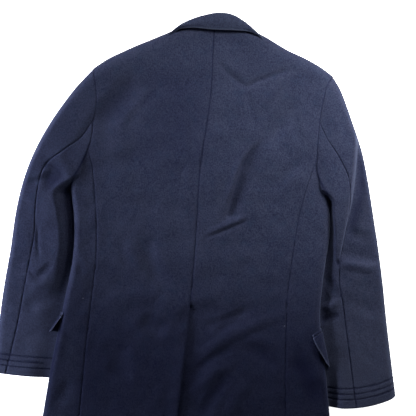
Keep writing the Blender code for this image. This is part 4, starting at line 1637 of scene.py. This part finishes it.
@dataclass(frozen=True)
class Wool:
    """Brushed wool: a dark nap with fine flecks, soft clouds of tone and a little lint.

    Attributes:
        name: the material's name.
        deep: colour between the hairs.
        pale: colour of the hairs' tips.
        sheen: weight of the hairs' sheen.
        fleck: how much the flecks vary the tone.
        bump: height of the nap in metres.
    """

    name: str
    deep: Colour = (0.0055, 0.0066, 0.0160, 1.0)
    pale: Colour = (0.0187, 0.0218, 0.0372, 1.0)
    sheen: float = 0.06
    fleck: float = 2.15
    bump: float = 0.0011

    # Colours of lint, of painted light, of painted shade, and of random teal patches
    LINT, WORN = (0.22, 0.23, 0.27, 1.0), (0.060, 0.068, 0.105, 1.0)
    DARK, TEAL = (0.0000, 0.0002, 0.0072, 1.0), (0.0085, 0.0145, 0.0285, 1.0)
    # Scale per metre and detail of each pattern, and the nap's stretch
    NAP, TUFT, CLOUD, HUE = (430.0, 2.0), (150.0, 2.0), (26.0, 3.0), (75.0, 2.0)
    STRETCH = (1.0, 0.8, 1.0)
    TUFT_SHARE, CLOUD_SHARE, TEAL_SHARE, TEAL_BAND = 0.2, 0.4, 0.35, (0.5, 0.8)
    LINT_SCALE, LINT_SHARE, LINT_RARE, LINT_SIZE = 46.0, 0.5, (0.975, 0.98), (0.02, 0.065)
    BUMP_STRENGTH, NAP_RELIEF, TUFT_RELIEF = 0.55, 0.7, 0.4
    ROUGHNESS, SPECULAR = 0.88, 0.02
    SHEEN_ROUGHNESS, SHEEN_TINT = 0.42, (0.58, 0.67, 1.0, 1.0)

    def material(self, grain: float) -> bpy.types.Material:
        """Makes the material.

        Args:
            grain: heading of the nap, in degrees from the coat's length.

        Returns:
            The new material.
        """
        made = bpy.data.materials.new(self.name)
        made.use_nodes = True
        graph = Graph(made.node_tree)
        place = graph.node("ShaderNodeTexCoord").outputs["Object"]
        turn = (0, 0, math.radians(-grain))
        turned = graph.node("ShaderNodeMapping", Vector=place, Rotation=turn, Scale=self.STRETCH).outputs[0]

        def noise(source: bpy.types.NodeSocket, scale: float, detail: float) -> Value:
            """A noise texture from 0 to 1."""
            return graph.value("ShaderNodeTexNoise", 0, Vector=source, Scale=scale, Detail=detail)

        nap, tuft = noise(turned, *self.NAP), noise(turned, *self.TUFT)
        cloud, hue = noise(place, *self.CLOUD), noise(place, *self.HUE)
        tone = 0.5 + (nap - 0.5) * self.fleck + (tuft - 0.5) * (self.TUFT_SHARE * self.fleck)
        tone = tone + (cloud - 0.5) * self.CLOUD_SHARE
        wool = graph.mix(tone.math("MAXIMUM", 0.0).math("MINIMUM", 1.0), self.deep, self.pale)
        wool = graph.mix(hue.over(*self.TEAL_BAND) * self.TEAL_SHARE, wool, self.TEAL)
        spots = graph.node("ShaderNodeTexVoronoi", Vector=place, Scale=self.LINT_SCALE).outputs
        rare = graph.value("ShaderNodeSeparateColor", 0, Color=spots["Color"]).over(*self.LINT_RARE)
        lint = rare * (1.0 - Value(graph, spots["Distance"]).over(*self.LINT_SIZE))
        wool = graph.mix(lint * self.LINT_SHARE, wool, self.LINT)
        # Painted light is mixed in where the shade attribute is negative, painted shade where it is positive
        shade = graph.value("ShaderNodeAttribute", "Fac", {"attribute_name": "shade"})
        wool = graph.mix((shade * -1.0).math("MAXIMUM", 0.0), wool, self.WORN)
        wool = graph.mix(shade.math("MAXIMUM", 0.0), wool, self.DARK)
        relief = nap * self.NAP_RELIEF + tuft * self.TUFT_RELIEF
        bump = graph.node("ShaderNodeBump", Strength=self.BUMP_STRENGTH, Distance=self.bump, Height=relief)
        graph.surface(
            Base_Color=wool,
            Roughness=self.ROUGHNESS,
            Normal=bump.outputs[0],
            Specular_IOR_Level=self.SPECULAR,
            Sheen_Weight=self.sheen,
            Sheen_Roughness=self.SHEEN_ROUGHNESS,
            Sheen_Tint=self.SHEEN_TINT,
        )
        return made


FINISHES = {
    "navy_wool": Wool("navy_wool"),
    # The collar's wool is paler than the navy wool: a little by its own colour, the rest painted light on the
    # collar
    "collar_wool": Wool(
        "collar_wool", deep=(0.0070, 0.0087, 0.0205, 1.0), pale=(0.0230, 0.0278, 0.0462, 1.0)
    ),
    "pocket_wool": Wool("pocket_wool"),
}


@dataclass
class Coat:
    """The whole coat, dressed and tied to the frame.

    Attributes:
        body: the shape of its body laid flat.
        materials: finishes made so far, by slot and grain.
    """

    body: Body = field(default_factory=Body)
    materials: dict[tuple[str, float], bpy.types.Material] = field(default_factory=dict)

    def shift(self) -> Array:
        """What takes plan places into the frame, in mm.

        Returns:
            The shift across, along and up.
        """
        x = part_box("top_sleeve_left")[0].x / MM - PLAN_LEFT
        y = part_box("lapel_left")[0].y / MM - PLAN_LAPEL
        return np.array([x, y, 0.0])

    def dress(self, panel: Panel) -> bpy.types.Object:
        """Builds one panel and gives it its finish.

        Args:
            panel: the piece to build.

        Returns:
            The finished piece.
        """
        slots = {sub["node"]: sub["material_slot"] for sub in frame["record"]["subparts"]}
        slot = slots[panel.node]
        item = panel.build(self.shift())
        key = (slot, panel.grain)
        if key not in self.materials:
            self.materials[key] = FINISHES[slot].material(panel.grain)
        item.data.materials.append(self.materials[key])
        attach(item, "root")
        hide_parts(panel.node)
        log.info("%s: %d faces", item.name, len(item.data.polygons))
        return item

    def build(self) -> None:
        """Builds every piece in order."""
        for group in (Torso(self.body), Sleeves(self.body), Collar(self.body), Pockets(self.body)):
            for panel in group.panels():
                self.dress(panel)


# Studio

# Tint of the lights from the left
BLUISH = (0.94, 0.98, 1.16)


@dataclass(frozen=True)
class SoftBox:
    """A large soft light.

    Attributes:
        name: its name.
        place: where it stands, in metres.
        aim: what it points at.
        size: width and height.
        power: watts.
        spread: width of its beam, in degrees.
        tint: its colour.
    """

    name: str
    place: Triple
    aim: Triple
    size: Pair
    power: float
    spread: float
    tint: Triple = (1.0, 1.0, 1.0)

    def build(self) -> None:
        """Adds the light, which the camera doesn't see."""
        light = bpy.data.lights.new(self.name, "AREA")
        light.shape = "RECTANGLE"
        light.size, light.size_y = self.size
        light.energy = self.power
        light.color = self.tint
        light.spread = math.radians(self.spread)
        item = bpy.data.objects.new(self.name, light)
        item.location = self.place
        item.rotation_euler = (Vector(self.aim) - Vector(self.place)).to_track_quat("-Z", "Y").to_euler()
        item.visible_camera = False
        bpy.context.scene.collection.objects.link(item)


@dataclass(frozen=True)
class Studio:
    """White floor, soft light and the camera over the coat.

    Attributes:
        lights: the soft boxes.
        fill: strength of the light from all round.
        floor_glow: how much the floor shines by itself, as a sheet lit from below does.
        view_width: width of the picture over the coat, in metres.
        view_level: height over the floor at which that width is measured.
        distance: from there up to the camera.
    """

    lights: tuple[SoftBox, ...] = (
        SoftBox("key", (0.29, 0.74, 0.42), (0.23, 0.29, 0.0), (0.9, 0.20), 2.4, 50.0),
        SoftBox("corner", (0.68, 0.60, 0.44), (0.30, 0.20, 0.0), (0.4, 0.25), 3.0, 70.0),
        SoftBox("left_high", (-0.84, 0.48, 0.21), (-0.32, 0.25, 0.02), (0.4, 0.2), 1.6, 42.0, BLUISH),
        SoftBox("left_low", (-0.80, -0.22, 0.22), (-0.42, -0.22, 0.02), (0.7, 0.12), 2.0, 50.0, BLUISH),
        SoftBox("right_low", (0.80, -0.14, 0.22), (0.42, -0.14, 0.02), (0.7, 0.12), 0.36, 50.0),
    )
    fill: float = 0.08
    floor_glow: float = 0.92
    view_width: float = PICTURE * PIXEL * MM
    view_level: float = 0.02
    distance: float = 3.6

    FLOOR_SIZE = 40.0
    WALL_SIDES, WALL_RADIUS, WALL_HEIGHT = 48, 16.0, 4.0
    FLOOR_WHITE, FLOOR_ROUGHNESS, FLOOR_SPECULAR, FLOOR_DROP = (0.86, 0.86, 0.86, 1.0), 0.9, 0.1, 0.0003
    WALL_GLOW, GLOW_WHITE, FILL_TINT = 1.0, (1.0, 1.0, 1.0, 1.0), (0.75, 0.90, 1.35, 1.0)
    SENSOR, SIGHT = 36.0, 100.0

    def sheet(self, name: str, points: list, faces: list, glow: float) -> None:
        """Adds a white surface round the coat.

        Args:
            name: its name.
            points: its corners, in metres.
            faces: corners of each face.
            glow: how much it shines by itself.
        """
        mesh = bpy.data.meshes.new(name)
        mesh.from_pydata(points, [], faces)
        material = bpy.data.materials.new(f"{name}_white")
        material.use_nodes = True
        graph = Graph(material.node_tree)
        graph.surface(
            Base_Color=self.FLOOR_WHITE,
            Roughness=self.FLOOR_ROUGHNESS,
            Specular_IOR_Level=self.FLOOR_SPECULAR,
            Emission_Color=self.GLOW_WHITE,
            Emission_Strength=glow,
        )
        mesh.materials.append(material)
        item = bpy.data.objects.new(name, mesh)
        item.location.z = -self.FLOOR_DROP
        bpy.context.scene.collection.objects.link(item)

    def floor(self) -> None:
        """Adds the floor, and a low wall far off that hides its end."""
        half = self.FLOOR_SIZE / 2
        corners = [(-half, -half, 0), (half, -half, 0), (half, half, 0), (-half, half, 0)]
        self.sheet("floor", corners, [(0, 1, 2, 3)], self.floor_glow)
        turns = [2 * math.pi * k / self.WALL_SIDES for k in range(self.WALL_SIDES)]
        ring = [(self.WALL_RADIUS * math.cos(turn), self.WALL_RADIUS * math.sin(turn)) for turn in turns]
        points = [(x, y, z) for z in (0.0, self.WALL_HEIGHT) for x, y in ring]
        count = self.WALL_SIDES
        faces = [(k, (k + 1) % count, count + (k + 1) % count, count + k) for k in range(count)]
        self.sheet("wall", points, faces, self.WALL_GLOW)

    def world(self) -> None:
        """Adds even light from all round, bluish as in open shade."""
        world = bpy.data.worlds.new("studio")
        world.use_nodes = True
        graph = Graph(world.node_tree)
        light = graph.node("ShaderNodeBackground", Color=self.FILL_TINT, Strength=self.fill)
        graph.node("ShaderNodeOutputWorld", Surface=light.outputs[0])
        bpy.context.scene.world = world

    def camera(self, centre: Array) -> None:
        """Adds the camera straight over the plan's middle.

        Args:
            centre: the plan's middle in the frame, in mm.
        """
        data = bpy.data.cameras.new("camera")
        data.sensor_width = self.SENSOR
        data.lens = self.SENSOR * self.distance / self.view_width
        data.clip_end = self.SIGHT
        item = bpy.data.objects.new("camera", data)
        item.location = (centre[0] * MM, centre[1] * MM, self.view_level + self.distance)
        bpy.context.scene.collection.objects.link(item)
        bpy.context.scene.camera = item

    def build(self, centre: Array) -> None:
        """Adds everything round the coat.

        Args:
            centre: the plan's middle in the frame, in mm.
        """
        self.floor()
        self.world()
        for light in self.lights:
            light.build()
        self.camera(centre)
        bpy.context.scene.view_settings.view_transform = "Standard"
        bpy.context.scene.view_settings.look = "None"


def main() -> None:
    """Builds the coat and its studio."""
    logging.basicConfig(level=logging.INFO, format="%(message)s")
    coat = Coat()
    coat.build()
    Studio().build(coat.shift())


if __name__ == "__main__":
    main()
